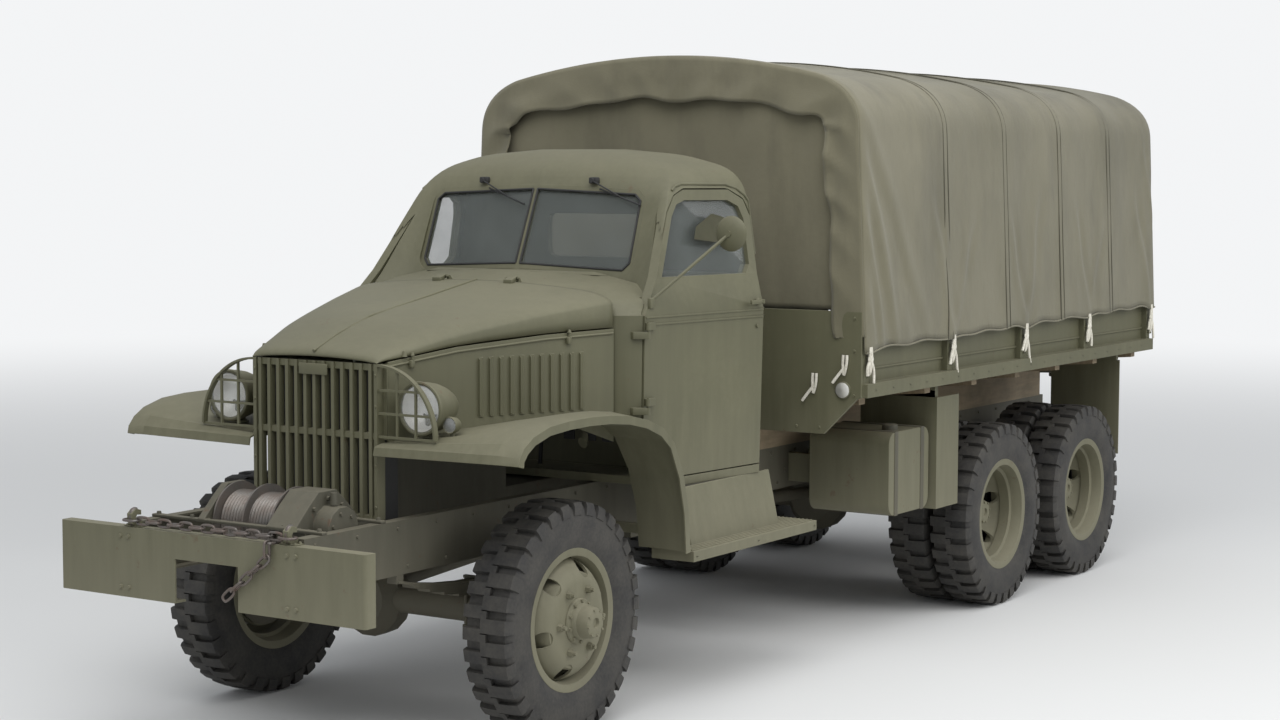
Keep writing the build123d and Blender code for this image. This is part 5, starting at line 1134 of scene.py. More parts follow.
@dataclass(frozen=True)
class TieRopes:
    """Short rope lashings from the hem to a hook at every stake."""

    places: tuple[float, ...] = (2032.0, 2922.0, 3807.0, 4672.0, 5627.0)
    foot: float = 1304

    def build(self) -> None:
        """Makes the ropes, their knots and the hooks."""
        runs = []
        knots = Work()
        hooks = Work()
        foot = self.foot
        for side in (-1, 1):
            for index, place in enumerate(self.places):
                top = 1436 + 34 * (place - 1985) / 3700
                for lean in (-11, 11):
                    runs.append([spot(side * 1113, place + lean * 0.4, top),
                                 spot(side * 1113.5, place + lean, top - 40),
                                 spot(side * 1112, place + lean * 0.9, foot + 40),
                                 spot(side * 1106, place, foot)])
                middle = spot(side * 1112, place + 3, (top + foot) / 2 + 10)
                self._knot(knots, middle)
                for length, lean in ((74 + 9 * (index % 2), -1), (112 + 16 * (index % 3), 1)):
                    sway = 52 * (0.6 + 0.2 * (index % 3))
                    runs.append([middle] + [middle + shift(0, lean * out, -length * down)
                                            for out, down in ((26, 0.3), (34, 0.7), (sway, 1))])
                hooks.rod(spot(side * 1092, place, foot), spot(side * 1113, place, foot), 6, 10)
                hooks.rod(spot(side * 1110, place, foot - 3), spot(side * 1110, place, foot + 18), 5, 10)
        for across, place, top in ((1015, 1968, 1400), (858, 1966, 1310)):
            runs += self._loop(across, place, top)
        strand("tie_ropes", runs, 7, Finish.ROPE)
        knots.done("tie_knots", Finish.ROPE)
        hooks.done("tie_hooks", Finish.OLIVE)

    def _knot(self, knots: Work, middle: Vector) -> None:
        """Adds one knot, flattened against the side."""
        made = bmesh.ops.create_icosphere(knots.bm, subdivisions=2, radius=mm(22),
                                          matrix=Matrix.Translation(middle))["verts"]
        bmesh.ops.scale(knots.bm, vec=(0.34, 1.2, 1.0), space=Matrix.Translation(-middle), verts=made)

    def _loop(self, across: float, place: float, top: float) -> list[list[Vector]]:
        """A knotted loop with a loose end, on the front of the cargo body."""
        runs = [[spot(across + lean, place, top), spot(across + lean * 1.4, place - 4, top - 50),
                 spot(across - 6, place, top - 92)] for lean in (-9, 9)]
        runs.append([spot(across - 5, place - 2, top - 60), spot(across - 34, place - 8, top - 95),
                     spot(across - 60, place - 8, top - 130)])
        return runs


@dataclass(frozen=True)
class Seat:
    """The bench: a crowned cushion and a back, each with sewn channels."""

    half: float = 698.0
    channels: int = 11
    crown: float = 14
    groove: float = 10

    def _pad(self, name: str, low: Vector, high: Vector, up: Axis) -> None:
        """Makes one pad in a box, its seating face towards +z or -y."""
        work = Work()
        work.block(low, high, 28, 4)
        long = [edge for edge in work.bm.edges if edge.calc_length() > 0.2]
        bmesh.ops.subdivide_edges(work.bm, edges=long, cuts=41, use_grid_fill=True)
        axis = up.value
        other = Axis.Y.value if up is Axis.Z else Axis.Z.value
        for vert in work.bm.verts:
            share_x, share_y, outer = ((vert.co[way] - low[way]) / (high[way] - low[way])
                                       for way in (0, other, axis))
            bulge = (4 * share_x * (1 - share_x)) ** 0.5 * (4 * max(0, share_y * (1 - share_y))) ** 0.5
            channel = abs(math.cos(share_x * math.pi * self.channels)) ** 12
            lift = mm(self.crown) * (bulge - 1) - mm(self.groove) * channel
            vert.co[axis] += outer * lift if up is Axis.Z else -(1 - outer) * lift
        work.done(name, Finish.SEAT, Body.CHASSIS, ("seat_cushions",), 60)

    def build(self) -> None:
        """Makes the cushion and the back."""
        self._pad("seat_cushion_pad", spot(-self.half, 1002, 1201), spot(self.half, 1436, 1330), Axis.Z)
        self._pad("seat_back_pad", spot(-self.half, 1434, 1332), spot(self.half, 1500, 1788), Axis.Y)


@dataclass(frozen=True)
class FrontEnd:
    """Bumper trim, chain, winch, grille plate and lamps."""

    bumper_front: float = -1156.0
    bumper_top: float = 881.0
    hook: float = 391.0
    hook_ring: float = 30.0
    links: int = 13
    winch_place: float = -815
    winch_height: float = 895
    rope_turns: int = 19
    headlamp: float = 490
    marker: float = 600

    def chain(self) -> None:
        """Rings on the hooks, the run between them and the tail over the bumper."""
        pitch = 2 * (self.hook - self.hook_ring) / self.links
        half, wide = pitch / 2 + 4.5, 14
        place, height = self.bumper_front + 13, self.bumper_top + 27
        runs = [self._link(spot(side * self.hook, place, height), LEFT, BACK, self.hook_ring + 5, 23)
                for side in (-1, 1)]
        for index in range(self.links):
            middle = spot(-self.hook + self.hook_ring + (index + 0.5) * pitch, place,
                          height - 1.5 * math.sin(math.pi * index / 12))
            runs.append(self._link(middle, LEFT, BACK if index % 2 else UP, half, wide))
        laid = spot(322, self.bumper_front + 10, self.bumper_top + 5)
        runs.append(self._link(laid, BACK, LEFT, half, wide))
        bar = laid - BACK * mm(pitch / 2 + 5)
        slope, flat = Vector((-0.78, 0, -0.626)), Vector((0.626, 0, -0.78))
        moves = [(-UP, BACK, 5)]
        moves += [(slope, BACK if index % 2 else flat, 5 if index else 7) for index in range(5)]
        for direction, lie, half_bar in moves:
            middle = bar + direction * mm(pitch / 2 - half_bar)
            runs.append(self._link(middle, direction, lie, half, wide))
            bar = middle + direction * mm(pitch / 2 + 5)
        made = strand("tow_chain_links", runs, 5.2, Finish.IRON, closed=True)
        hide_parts("tow_chain")

    def _link(self, middle: Vector, along: Vector, lie: Vector, half: float, wide: float) -> list[Vector]:
        """The points of one link, along one direction and lying in another."""
        run = []
        for step_round in range(12):
            turn = math.tau * step_round / 12
            far = wide * math.cos(turn)
            if abs(math.cos(turn)) > 0.01:
                far += math.copysign(half - wide, math.cos(turn))
            run.append(middle + along * mm(far) + lie * mm(wide * 1.06 * math.sin(turn)))
        return run

    def winch(self) -> None:
        """The drum with its wound wire rope, and bolts on its case."""
        centre = self._on_winch(0)
        profile: list[Pair] = [(-150, 24), (-150, 145), (-142, 145)]
        for quarter in range(4 * self.rope_turns):
            bulge = 7 * abs(math.sin(math.pi * (quarter % 4) / 4))
            profile.append((-141 + 282 * (quarter / 4 / self.rope_turns), 108 + bulge))
        profile += [(142, 145), (150, 145), (150, 24)]
        work = Work().turned(profile, centre, LEFT, 56)
        work.rod(self._on_winch(-186), self._on_winch(186), 24, 20)
        work.turned([(-4, 110), (-4, 145), (4, 145), (4, 110)], centre, LEFT, 56, True)
        work.done("winch_drum_and_rope", Finish.CABLE, Body.WINCH, ("winch_drum",), 30)
        trim = Work()
        trim.hexes(self._on_winch(300), LEFT, 112, 8, 10, 10)
        trim.hexes(self._on_winch(376), LEFT, 62, 6, 8, 8)
        trim.rod(self._on_winch(330, 89), self._on_winch(330, 135), 16, 12, 12)
        for place in (-985, -645):
            for across in (-405, 405, -230, 230):
                trim.bolt(spot(across, place, 912), UP, 11, 10)
        trim.rod(spot(-128, -1092, 790), spot(128, -1092, 790), 14, 16)
        trim.done("winch_bolts", Finish.CHASSIS)

    def _on_winch(self, across: float, above: float = 0) -> Vector:
        """A point on the winch's axis, or above it."""
        return spot(across, self.winch_place, self.winch_height + above)

    def bumper(self) -> None:
        """Bolts and stiffeners of the bumper."""
        face, top = self.bumper_front, self.bumper_top + 4
        work = Work()
        horns = []
        for side in (-1, 1):
            hook = side * self.hook
            for across, height in ((398, 650), (398, 845), (440, 650), (440, 845)):
                work.bolt(spot(side * across, face, height), AHEAD, 11, 7)
            work.block(spot(hook - 40, face + 12, self.bumper_top), spot(hook + 40, face + 56, top), 1)
            for place in (20, 48):
                for across in (-28, 28):
                    work.bolt(spot(hook + across, face + place, top), UP, 8, 7)
            bend = ((62, 893), (34, 893), (10, 898), (9, 930), (22, 948), (34, 944))
            horns.append([spot(hook, face + place, height) for place, height in bend])
        work.done("bumper_bolts", Finish.OLIVE)
        strand("tow_hook_horns", horns, 10.5, Finish.IRON)

    def grille(self) -> None:
        """The blank plate at the top of the grille and the guards' clips."""
        work = Work()
        work.block(spot(-72, -550, 1440), spot(72, -543, 1484), 4)
        for side in (-1, 1):
            for height in (940, 1100, 1330, 1450):
                work.bolt(spot(side * 309, -543, height), AHEAD, 7, 4)
            work.rod(spot(side * 360, -428, 1518), spot(side * 360, -428, 1540), 12, 10, 6)
        work.done("grille_plate", Finish.OLIVE)

    def lamps(self) -> None:
        """Round headlamps, small marker lamps and their posts."""
        shell = [(16, 88), (8, 98), (10, 104), (18, 106), (28, 104), (34, 101), (60, 100), (100, 93),
                 (140, 79), (180, 59), (212, 36), (232, 18), (242, 0.5)]
        post = [(0, 34), (6, 34), (14, 22), (70, 20), (90, 30)]
        bowl = [(20, 90), (50, 78), (76, 54), (90, 24), (92, 0.5)]
        glass = [(14, 93), (7, 80), (2, 50), (0, 0.5)]
        small = [(0, 26), (-4, 31), (2, 34), (10, 33), (34, 28), (56, 14), (62, 0.5)]
        small_glass = [(-2, 29), (-8, 18), (-10, 0.5)]
        shells, bowls, glasses = Work(), Work(), Work()
        for side in (-1, 1):
            headlamp, small_lamp = side * self.headlamp, side * self.marker
            centre, marker = spot(headlamp, -512, 1328), spot(small_lamp, -455, 1268)
            shells.turned(shell, centre, BACK, 48)
            shells.turned(post, spot(headlamp, -432, 1214), UP, 20)
            bowls.turned(bowl, centre, BACK, 40)
            glasses.turned(glass, centre, BACK, 40)
            shells.turned(small, marker, BACK, 24)
            shells.rod(marker + shift(0, 20, -28), spot(small_lamp, -438, 1224), 10, 10)
            glasses.turned(small_glass, marker, BACK, 24)
        shells.done("headlamp_shells", Finish.OLIVE, Body.CHASSIS, ("lamps",), 40)
        bowls.done("headlamp_bowls", Finish.REFLECTOR, Body.CHASSIS, (), 60)
        glasses.done("lamp_glasses", Finish.LENS, Body.CHASSIS, ("lamp_lenses",), 60)

    def build(self) -> None:
        """Builds every piece of the front end."""
        self.chain()
        self.winch()
        self.bumper()
        self.grille()
        self.lamps()


def hood_half(place: float) -> float:
    """Half the hood's width in millimetres at a place behind the front axle."""
    return 318 + (700 - 318) * (place - NOSE) / (COWL - NOSE)


@dataclass(frozen=True)
class CabTrim:
    """Mouldings, wipers, handles, latches, mirror glass, instruments and the steering wheel."""

    crown: Sequence[Pair] = ((-543, 1533), (-400, 1591), (-200, 1651), (200, 1719), (515, 1773))
    seam: Sequence[Pair] = ((-496, 1482), (-400, 1497), (-200, 1527), (200, 1558), (515, 1570))
    belt: Sequence[Pair] = ((1598, 1606), (1628, 1636))
    drip: Sequence[Pair] = ((1008, 2153), (1038, 2171), (1080, 2181), (1330, 2181), (1385, 2163),
                            (1424, 2134), (1447, 2096), (1462, 2044), (1462, 1840))

    def hood(self) -> None:
        """The hood's hinge bead, its side beads, latches and louvres."""
        work = Work()
        for near, far in zip(self.crown, self.crown[1:]):
            work.rod(spot(0, *near), spot(0, *far), 6, 10)
        work.done("hood_bead", Finish.OLIVE, Body.HOOD)
        sides = Work()
        seam = [spot(hood_half(place) + 2, place, height) for place, height in self.seam]
        for start, end in zip(seam, seam[1:]):
            sides.rod(start, end, 5, 8)
        for place, height in ((-401, 1518), (300, 1578)):
            half = hood_half(place)
            sides.block(spot(half, place - 12, height - 44), spot(half + 14, place + 12, height - 14), 3)
            sides.rod(spot(half + 9, place, height - 20), spot(half + 9, place, height + 6), 5, 8)
            sides.rod(spot(half + 9, place, height + 4), spot(half + 9, place, height + 16), 9, 12, 4)
        for index in range(11):
            self._louvre(sides, -105 + 46.2 * index)
        sides.mirrored()
        sides.done("hood_side_beads", Finish.OLIVE)

    def _louvre(self, work: Work, place: float) -> None:
        """Adds one louvre: two end flanges and the slanting leaf between them."""
        low, high = 1262, 1500
        half = hood_half(place)
        for back, out, push in ((0, 9, 4), (22, 1, 2)):
            flange = ((-1, -3, low), (out, -6, low + 9), (out, -6, high - 9), (-1, -3, high))
            work.outline([spot(half + across, place + along + back, height)
                          for across, along, height in flange], shift(0.5, push, 0))
        leaf = ((8.5, -6, low + 9), (8.5, -6, high - 9), (2.5, 19, high - 9), (2.5, 19, low + 9))
        work.outline([spot(half + across, place + along, height) for across, along, height in leaf],
                     shift(1.2, 1, 0))

    def mouldings(self) -> None:
        """The belt moulding round the cab and the doors, and the drip strips over them."""
        shell = Work()
        for low, high in self.belt:
            shell.outline([spot(885, 1449, low), spot(889, 1449, low), spot(804, 1559, low),
                           spot(800, 1555, low)], UP * mm(high - low))
        run = self._drip_run()
        for start, end in zip(run, run[1:]):
            shell.rod(start, end, 6, 8)
        shell.mirrored()
        shell.done("cab_mouldings", Finish.OLIVE)
        for side, word in SIDES:
            way = outwards(side)
            door = Work()
            for low, high in self.belt:
                points = [(799, 612), (804, 612), (889, 1436), (884, 1436)]
                door.outline([spot(side * x, p, low) for x, p in points], UP * mm(high - low), 1)
            door.turned([(0, 17), (6, 16), (9, 10), (26, 8)], spot(side * 884, 1392, 1668), way, 20)
            door.block(spot(side * 900, 1300, 1658), spot(side * 909, 1406, 1676), 4)
            door.turned([(0, 9), (4, 8), (5, 2)], spot(side * 882, 1392, 1560), way, 16)
            door.done(f"door_trim_{word}", Finish.OLIVE, Body[f"{word}_door".upper()])

    def _drip_run(self) -> list[Vector]:
        """The drip strip's line, laid on the pressed shell from the side; what misses it is left out."""
        shell = bpy.data.objects["cab_pressed_shell"]
        skin = BVHTree.FromObject(shell, bpy.context.evaluated_depsgraph_get())
        run = []
        for start, end in zip(self.drip, self.drip[1:]):
            for step in range(6):
                seen = spot(1200, *start).lerp(spot(1200, *end), step / 6)
                seat, normal, _, _ = skin.ray_cast(seen, -LEFT)
                if seat:
                    run.append(seat + normal * mm(2))
        return run

    def windows(self) -> None:
        """Rubber strips round the windshield panes, and both wipers."""
        rubber = Work()
        pane = [(12, 1834), (525, 1813), (553, 1843), (548, 2108), (516, 2136), (12, 2158)]
        for start, end in zip(pane, pane[1:] + pane[:1]):
            rubber.rod(self.on_screen(*start), self.on_screen(*end), 5, 8)
        rubber.mirrored()
        rubber.done("windshield_rubber", Finish.BLACK)
        wiper = Work()
        for across in (-297, 297):
            pivot = self.on_screen(across, 2196) + shift(0, -12, 0)
            wiper.block(pivot - shift(22, 8, 14), pivot + shift(22, 20, 14), 6)
            wiper.rod(pivot + shift(0, -20, 0), pivot + shift(0, 12, 0), 10, 12)
            end = self.on_screen(across + 150, 2128) + shift(0, -14, 0)
            wiper.rod(pivot + shift(0, -14, 0), end, 3.5, 8)
            tip = self.on_screen(across + 262, 2090) + shift(0, -10, 0)
            wiper.rod(self.on_screen(across + 40, 2160) + shift(0, -10, 0), tip, 4, 8)
        wiper.done("wipers", Finish.BLACK)

    def on_screen(self, across: float, height: float) -> Vector:
        """A point on the windshield's plane."""
        share = (height - 1790) / 380
        middle = 796 + 162 * share
        edge = 846 + 137 * share
        return spot(across, middle + (edge - middle) * min(1.0, abs(across) / 565) - 1, height)

    def mirror(self) -> None:
        """The round mirror: bowl, glass, arm and its clamp."""
        head = Work()
        centre = spot(1005, 955, 1976)
        bowl = [(-26, 0.5), (-25, 20), (-20, 44), (-11, 63), (-3, 73), (0, 75), (2, 74), (1, 71), (-1, 70)]
        head.turned(bowl, centre, BACK, 40)
        head.rod(spot(788, 655, 1692), centre + shift(-4, -12, 0), 7, 14)
        head.rod(centre + shift(0, -30, 0), centre + shift(0, -2, 0), 13, 14)
        head.block(spot(788, 640, 1668), spot(806, 672, 1712), 4)
        head.done("mirror_head_and_arm", Finish.OLIVE, Body.LEFT_DOOR, ("mirror",), 40)
        glass = Work().turned([(-2, 71), (-1, 69), (0, 0.5)], centre, BACK, 40)
        glass.done("mirror_glass", Finish.BRIGHT, Body.LEFT_DOOR)

    def steering(self) -> None:
        """The steering wheel: a round rim on three spokes."""
        centre = spot(380, 1030, 1530)
        axis = Vector((0, 0.5, 0.866))
        grip = 12.5
        turns = [math.tau * step / 12 for step in range(12)]
        rim = [(grip * math.sin(turn), 187.5 + grip * math.cos(turn)) for turn in turns]
        work = Work().turned(rim, centre, axis, 56, True)
        work.turned([(-38, 11), (-38, 32), (-6, 36), (8, 30), (12, 16), (13, 0.5)], centre, axis, 32)
        side = axis.orthogonal().normalized()
        for index in range(3):
            way = Matrix.Rotation(math.tau * index / 3, 3, axis) @ side
            work.rod(centre + way * 0.03 - axis.normalized() * 0.01, centre + way * 0.188, 7, 12)
        work.done("steering_wheel_rim", Finish.BLACK, Body.STEERING_WHEEL, ("steering_wheel",), 50)

    def instruments(self) -> None:
        """Round gauges on the board, the pedals and the gear lever."""
        work = Work()
        for across in (300, 380, 460, 200):
            work.turned([(0, 34), (5, 34), (5, 29), (2, 28), (2, 0.5)], spot(across, 735, 1560), BACK, 24)
        for across in (300, 410, 500):
            work.block(spot(across - 28, 776, 1080), spot(across + 28, 786, 1150), 3)
            work.rod(spot(across, 740, 1130), spot(across, 780, 1112), 8, 10)
        work.rod(spot(60, 900, 943), spot(60, 930, 1290), 9, 12)
        work.turned([(-20, 0.5), (-14, 16), (0, 21), (14, 16), (20, 0.5)], spot(60, 931, 1305), UP, 20)
        work.done("gauges_and_pedals", Finish.BLACK)

    def build(self) -> None:
        """Builds all of the cab's trim."""
        self.hood()
        self.mouldings()
        self.windows()
        self.mirror()
        self.steering()
        self.instruments()


def offset_line(line: Sequence[Pair], gap: float) -> list[Pair]:
    """A closed line moved to its right-hand side by a gap: outwards if it runs anticlockwise."""
    made = []
    for before, point, after in zip([line[-1], *line[:-1]], line, [*line[1:], line[0]]):
        first = Vector((point[0] - before[0], point[1] - before[1])).normalized()
        second = Vector((after[0] - point[0], after[1] - point[1])).normalized()
        share = gap / (1 + first.dot(second))
        made.append((point[0] + (first.y + second.y) * share, point[1] - (first.x + second.x) * share))
    return made


Levels = Sequence[tuple[float, Sequence[Pair]]]


@dataclass(frozen=True)
class SmoothCab:
    """The cab as one pressed shell with rounded corners, cut for doors and windows.

    Each level is a height with half an outline: across, and millimetres behind the front axle.
    """

    lower: Levels = (
        (900, ((0, 521), (698, 521), (790, 606), (868, 1440), (800, 1555), (0, 1555))),
        (1641, ((0, 521), (706, 521), (800, 606), (885, 1440), (800, 1555), (0, 1555))),
    )
    cowl: Levels = (
        (1640, ((0, 521), (706, 521), (800, 606), (820, 800), (0, 800))),
        (1700, ((0, 521), (640, 521), (768, 640), (800, 800), (0, 800))),
        (1762, ((0, 521), (300, 521), (560, 660), (640, 800), (0, 800))),
        (1806, ((0, 700), (150, 700), (300, 760), (420, 800), (0, 800))),
    )
    upper: Levels = (
        (1640, ((0, 731), (566, 790), (800, 607), (885, 1440), (800, 1555), (0, 1555))),
        (1790, ((0, 796), (572, 846), (762, 742), (850, 1440), (772, 1554), (0, 1554))),
        (2170, ((0, 958), (550, 983), (668, 1000), (792, 1440), (716, 1546), (0, 1546))),
        (2255, ((0, 1010), (500, 1045), (604, 1090), (720, 1420), (650, 1515), (0, 1515))),
        (2311, ((0, 1120), (340, 1142), (440, 1172), (500, 1396), (440, 1458), (0, 1458))),
        (2335, ((0, 1230), (120, 1234), (180, 1252), (220, 1356), (180, 1396), (0, 1396))),
    )
    door: Sequence[Pair] = (
        (606, 1192), (606, 1640), (750, 1790), (938, 2060), (1010, 2130), (1080, 2158), (1330, 2158),
        (1410, 2115), (1440, 2040), (1440, 949), (782, 949), (752, 1020), (700, 1126), (650, 1168),
    )
    door_levels: Sequence[tuple[float, Pair, Pair]] = (
        (900, (790, 606), (868, 1440)), (1640, (800, 606), (885, 1440)), (1790, (762, 742), (850, 1440)),
        (2170, (668, 1000), (792, 1440)),
    )
    windshield: Sequence[Pair] = (
        (0, 1812), (540, 1790), (578, 1830), (572, 2120), (530, 2158), (0, 2182), (-530, 2158),
        (-572, 2120), (-578, 1830), (-540, 1790),
    )
    rear_window: Sequence[Pair] = ((-330, 1840), (330, 1840), (330, 2040), (-330, 2040))
    toe: Sequence[Pair] = (
        (521, 1215), (606, 1186), (692, 1128), (748, 1010), (764, 943), (1555, 943), (1555, 2400),
        (521, 2400),
    )
    wall: float = 38

    def form(self, levels: Levels, inset: float, corner: float, crease: float) -> bpy.types.Object:
        """A stock object through the levels with rounded corners and creases.

        Args:
            levels: heights with their half outlines.
            inset: millimetres moved in all round; the two top levels of a lid are let down as far.
            corner: how far the rounding of the plan's corners reaches, in millimetres.
            crease: the same for the edges between levels.

        Returns:
            The closed stock object.
        """
        rings = []
        for height, half in levels:
            plan = [*half, *((-x, place) for x, place in half[-2:0:-1])]
            lid = len(levels) > 2 and height >= levels[-2][0]
            level = height - inset if lid else height
            line = [spot(x, place, level) for x, place in offset_line(plan, -inset)]
            cuts = [(8, 8)] * len(half)
            cuts[1] = (corner, corner)
            if len(half) == 6:
                cuts[2:5] = [(corner * 0.6, 5), (5, corner * 0.8), (corner * 0.8, corner)]
            else:
                cuts[2] = (corner, corner)
            mirror = [(after, before) for before, after in cuts[-2:0:-1]]
            rings.append(rounded(line, cuts + mirror, True))
        count = len(rings)
        columns = [rounded(column, [(crease, crease)] * count, False) for column in zip(*rings)]
        return solid_through(list(zip(*columns)))

    def prism(self, outline: Sequence[Pair], low: float, high: float, axis: Axis,
              corner: float = 0.0) -> bpy.types.Object:
        """A cutter: an outline of the side view along X, or of the front view along Y."""
        rings = []
        for depth in (low, high):
            line = [spot(depth, *pair) if axis is Axis.X else spot(pair[0], depth, pair[1])
                    for pair in outline]
            rings.append(rounded(line, [(corner, corner)] * len(line), True, 4) if corner else line)
        return solid_through(rings)

    def build(self) -> None:
        """Makes the shell and its hinge leaves."""
        shell = self.form(self.lower, 0, 60, 5)
        inside = combined(self.form(self.lower, self.wall, 40, 5), [
            ("UNION", self.form(self.upper, self.wall, 50, 60)),
            ("UNION", self.form(self.cowl, self.wall, 40, 20)),
        ])
        tools = [
            ("UNION", self.form(self.upper, 0, 70, 75)),
            ("UNION", self.form(self.cowl, 0, 60, 28)),
            ("DIFFERENCE", inside),
            ("INTERSECT", self.prism(self.toe, -1000, 1000, Axis.X)),
            ("DIFFERENCE", self.prism(self.windshield, 690, 1100, Axis.Y, 24)),
            ("DIFFERENCE", self.prism(self.rear_window, 1400, 1600, Axis.Y, 40)),
        ]
        opening = offset_line(self.door, -6)
        for side in (-1, 1):
            doorway = self.prism(opening, side * 560, side * 1000, Axis.X, 14)
            tools.append(("DIFFERENCE", combined(doorway, [("INTERSECT", self.side_slab(side))])))
        combined(shell, tools)
        work = Work()
        work.bm.from_mesh(shell.data)
        bpy.data.objects.remove(shell)
        self._hinges()
        work.done("cab_pressed_shell", Finish.OLIVE, Body.CHASSIS, ("cab_shell",), 32)

    def _hinges(self) -> None:
        """The hinge leaves of the doors and the ears of the hood's hinge."""
        hinges = Work()
        foot = ((6, 4), (8, -6), (-43, -46), (-65, -38), (-31, -14), (-9, -5))
        pin, front = 815, 606
        for base in (1230, 1545):
            leaf = [spot(pin + across, front + along, base) for across, along in foot]
            hinges.outline(leaf, UP * mm(30), 1.5)
            hinges.rod(spot(pin, front, base), spot(pin, front, base + 30), 10, 16)
            hinges.rod(spot(pin, front, base), spot(pin, front, base + 70), 5, 12)
        for across in (158, 210):
            ear = [(521, 1756), (521, 1788), (530, 1787), (554, 1756)]
            hinges.outline([spot(across - 7, *pair) for pair in ear], LEFT * mm(14), 1)
        hinges.rod(spot(150, 518, 1782), spot(226, 518, 1782), 3.5, 12)
        hinges.mirrored()
        hinges.done("cab_hinges", Finish.OLIVE)

    def side_slab(self, side: int) -> bpy.types.Object:
        """The depth of the cab's side that a door takes, as a cutter."""
        rings = []
        for height, (front_x, front), (rear_x, rear) in self.door_levels:
            slope = (rear_x - front_x) / (rear - front)
            corners = ((front_x + 20, front, -12), (rear_x + 20, rear, 12), (rear_x - 50, rear, 12),
                       (front_x - 50, front, -12))
            rings.append([spot(side * (x + slope * ahead), place + ahead, height)
                          for x, place, ahead in corners])
        return solid_through(rings)


@dataclass(frozen=True)
class SmoothHood:
    """The hood as one domed pressing with a rolled nose."""

    sections: Sequence[tuple[float, float, float, float]] = (
        (-543, 1501, 1506, 1532), (-400, 1521, 1536, 1590), (-200, 1551, 1582, 1650),
        (200, 1582, 1650, 1718), (515, 1594, 1690, 1772),
    )
    nose: Sequence[Pair] = ((-543, 20), (-541.5, 13), (-537, 7), (-530, 3), (-520, 1), (-505, 0))
    hinges: float = 190

    def at(self, place: float) -> list[float]:
        """Edge, shoulder and crown heights at a place, smooth between the sections."""
        rows = self.sections
        index = next((n for n in range(len(rows) - 2) if place <= rows[n + 1][0]), len(rows) - 2)
        before, start, end = rows[max(index - 1, 0)], rows[index], rows[index + 1]
        beyond = rows[min(index + 2, len(rows) - 1)]
        span = end[0] - start[0]
        part = min(1.0, max(0.0, (place - start[0]) / span))
        made = []
        for column in (1, 2, 3):
            leave = (end[column] - before[column]) / (end[0] - before[0]) * span
            arrive = (beyond[column] - start[column]) / (beyond[0] - start[0]) * span
            made.append((2 * part**3 - 3 * part**2 + 1) * start[column]
                        + (part**3 - 2 * part**2 + part) * leave
                        + (3 * part**2 - 2 * part**3) * end[column] + (part**3 - part**2) * arrive)
        return made

    def _half(self, place: float) -> list[Pair]:
        """Half a section from the crown to the edge: across and height."""
        edge, shoulder, crown = self.at(place)
        half = hood_half(place)
        rise = crown - shoulder
        shares = [0.80 * step / 14 for step in range(15)]
        right = [(share * half, shoulder + rise * (1 - 0.54 * share * share)) for share in shares]
        start, end = Vector(right[-1]), Vector((half, shoulder))
        pull = Vector((0.985 * half, shoulder + rise * 0.42))
        right += [tuple(curved(start, pull, end, step / 7)) for step in range(1, 8)]
        return [*right, (half, (shoulder + edge) / 2), (half, edge)]

    def build(self) -> None:
        """Makes the pressing and its hinge eyes."""
        work = Work()
        rows = []
        for place, roll in [*self.nose, *((-480 + 995 * step / 42, 0) for step in range(43))]:
            right = self._half(place)
            half, edge = right[-1]
            line = [(-x, z) for x, z in right[:0:-1]] + right
            rows.append([work.bm.verts.new(spot(x, place, max(z - roll, edge - 2 + 4 * (1 - abs(x) / half))))
                         for x, z in line])
        work.skin(rows, False)
        bmesh.ops.remove_doubles(work.bm, verts=work.bm.verts, dist=1e-6)
        hood = work.done("hood_pressing", Finish.OLIVE, Body.HOOD, ("hood",), 50)
        thickened(hood, 6)
        eyes = Work()
        for side in (-1, 1):
            inner = side * self.hinges - 22
            eyes.rod(spot(inner, 518, 1782), spot(inner + 44, 518, 1782), 8, 16)
            foot = [(518, 1774), (518, 1790), (478, 1778), (478, 1758)]
            eyes.outline([spot(inner, *pair) for pair in foot], LEFT * mm(44), 2)
        eyes.done("hood_hinge_eyes", Finish.OLIVE, Body.HOOD)


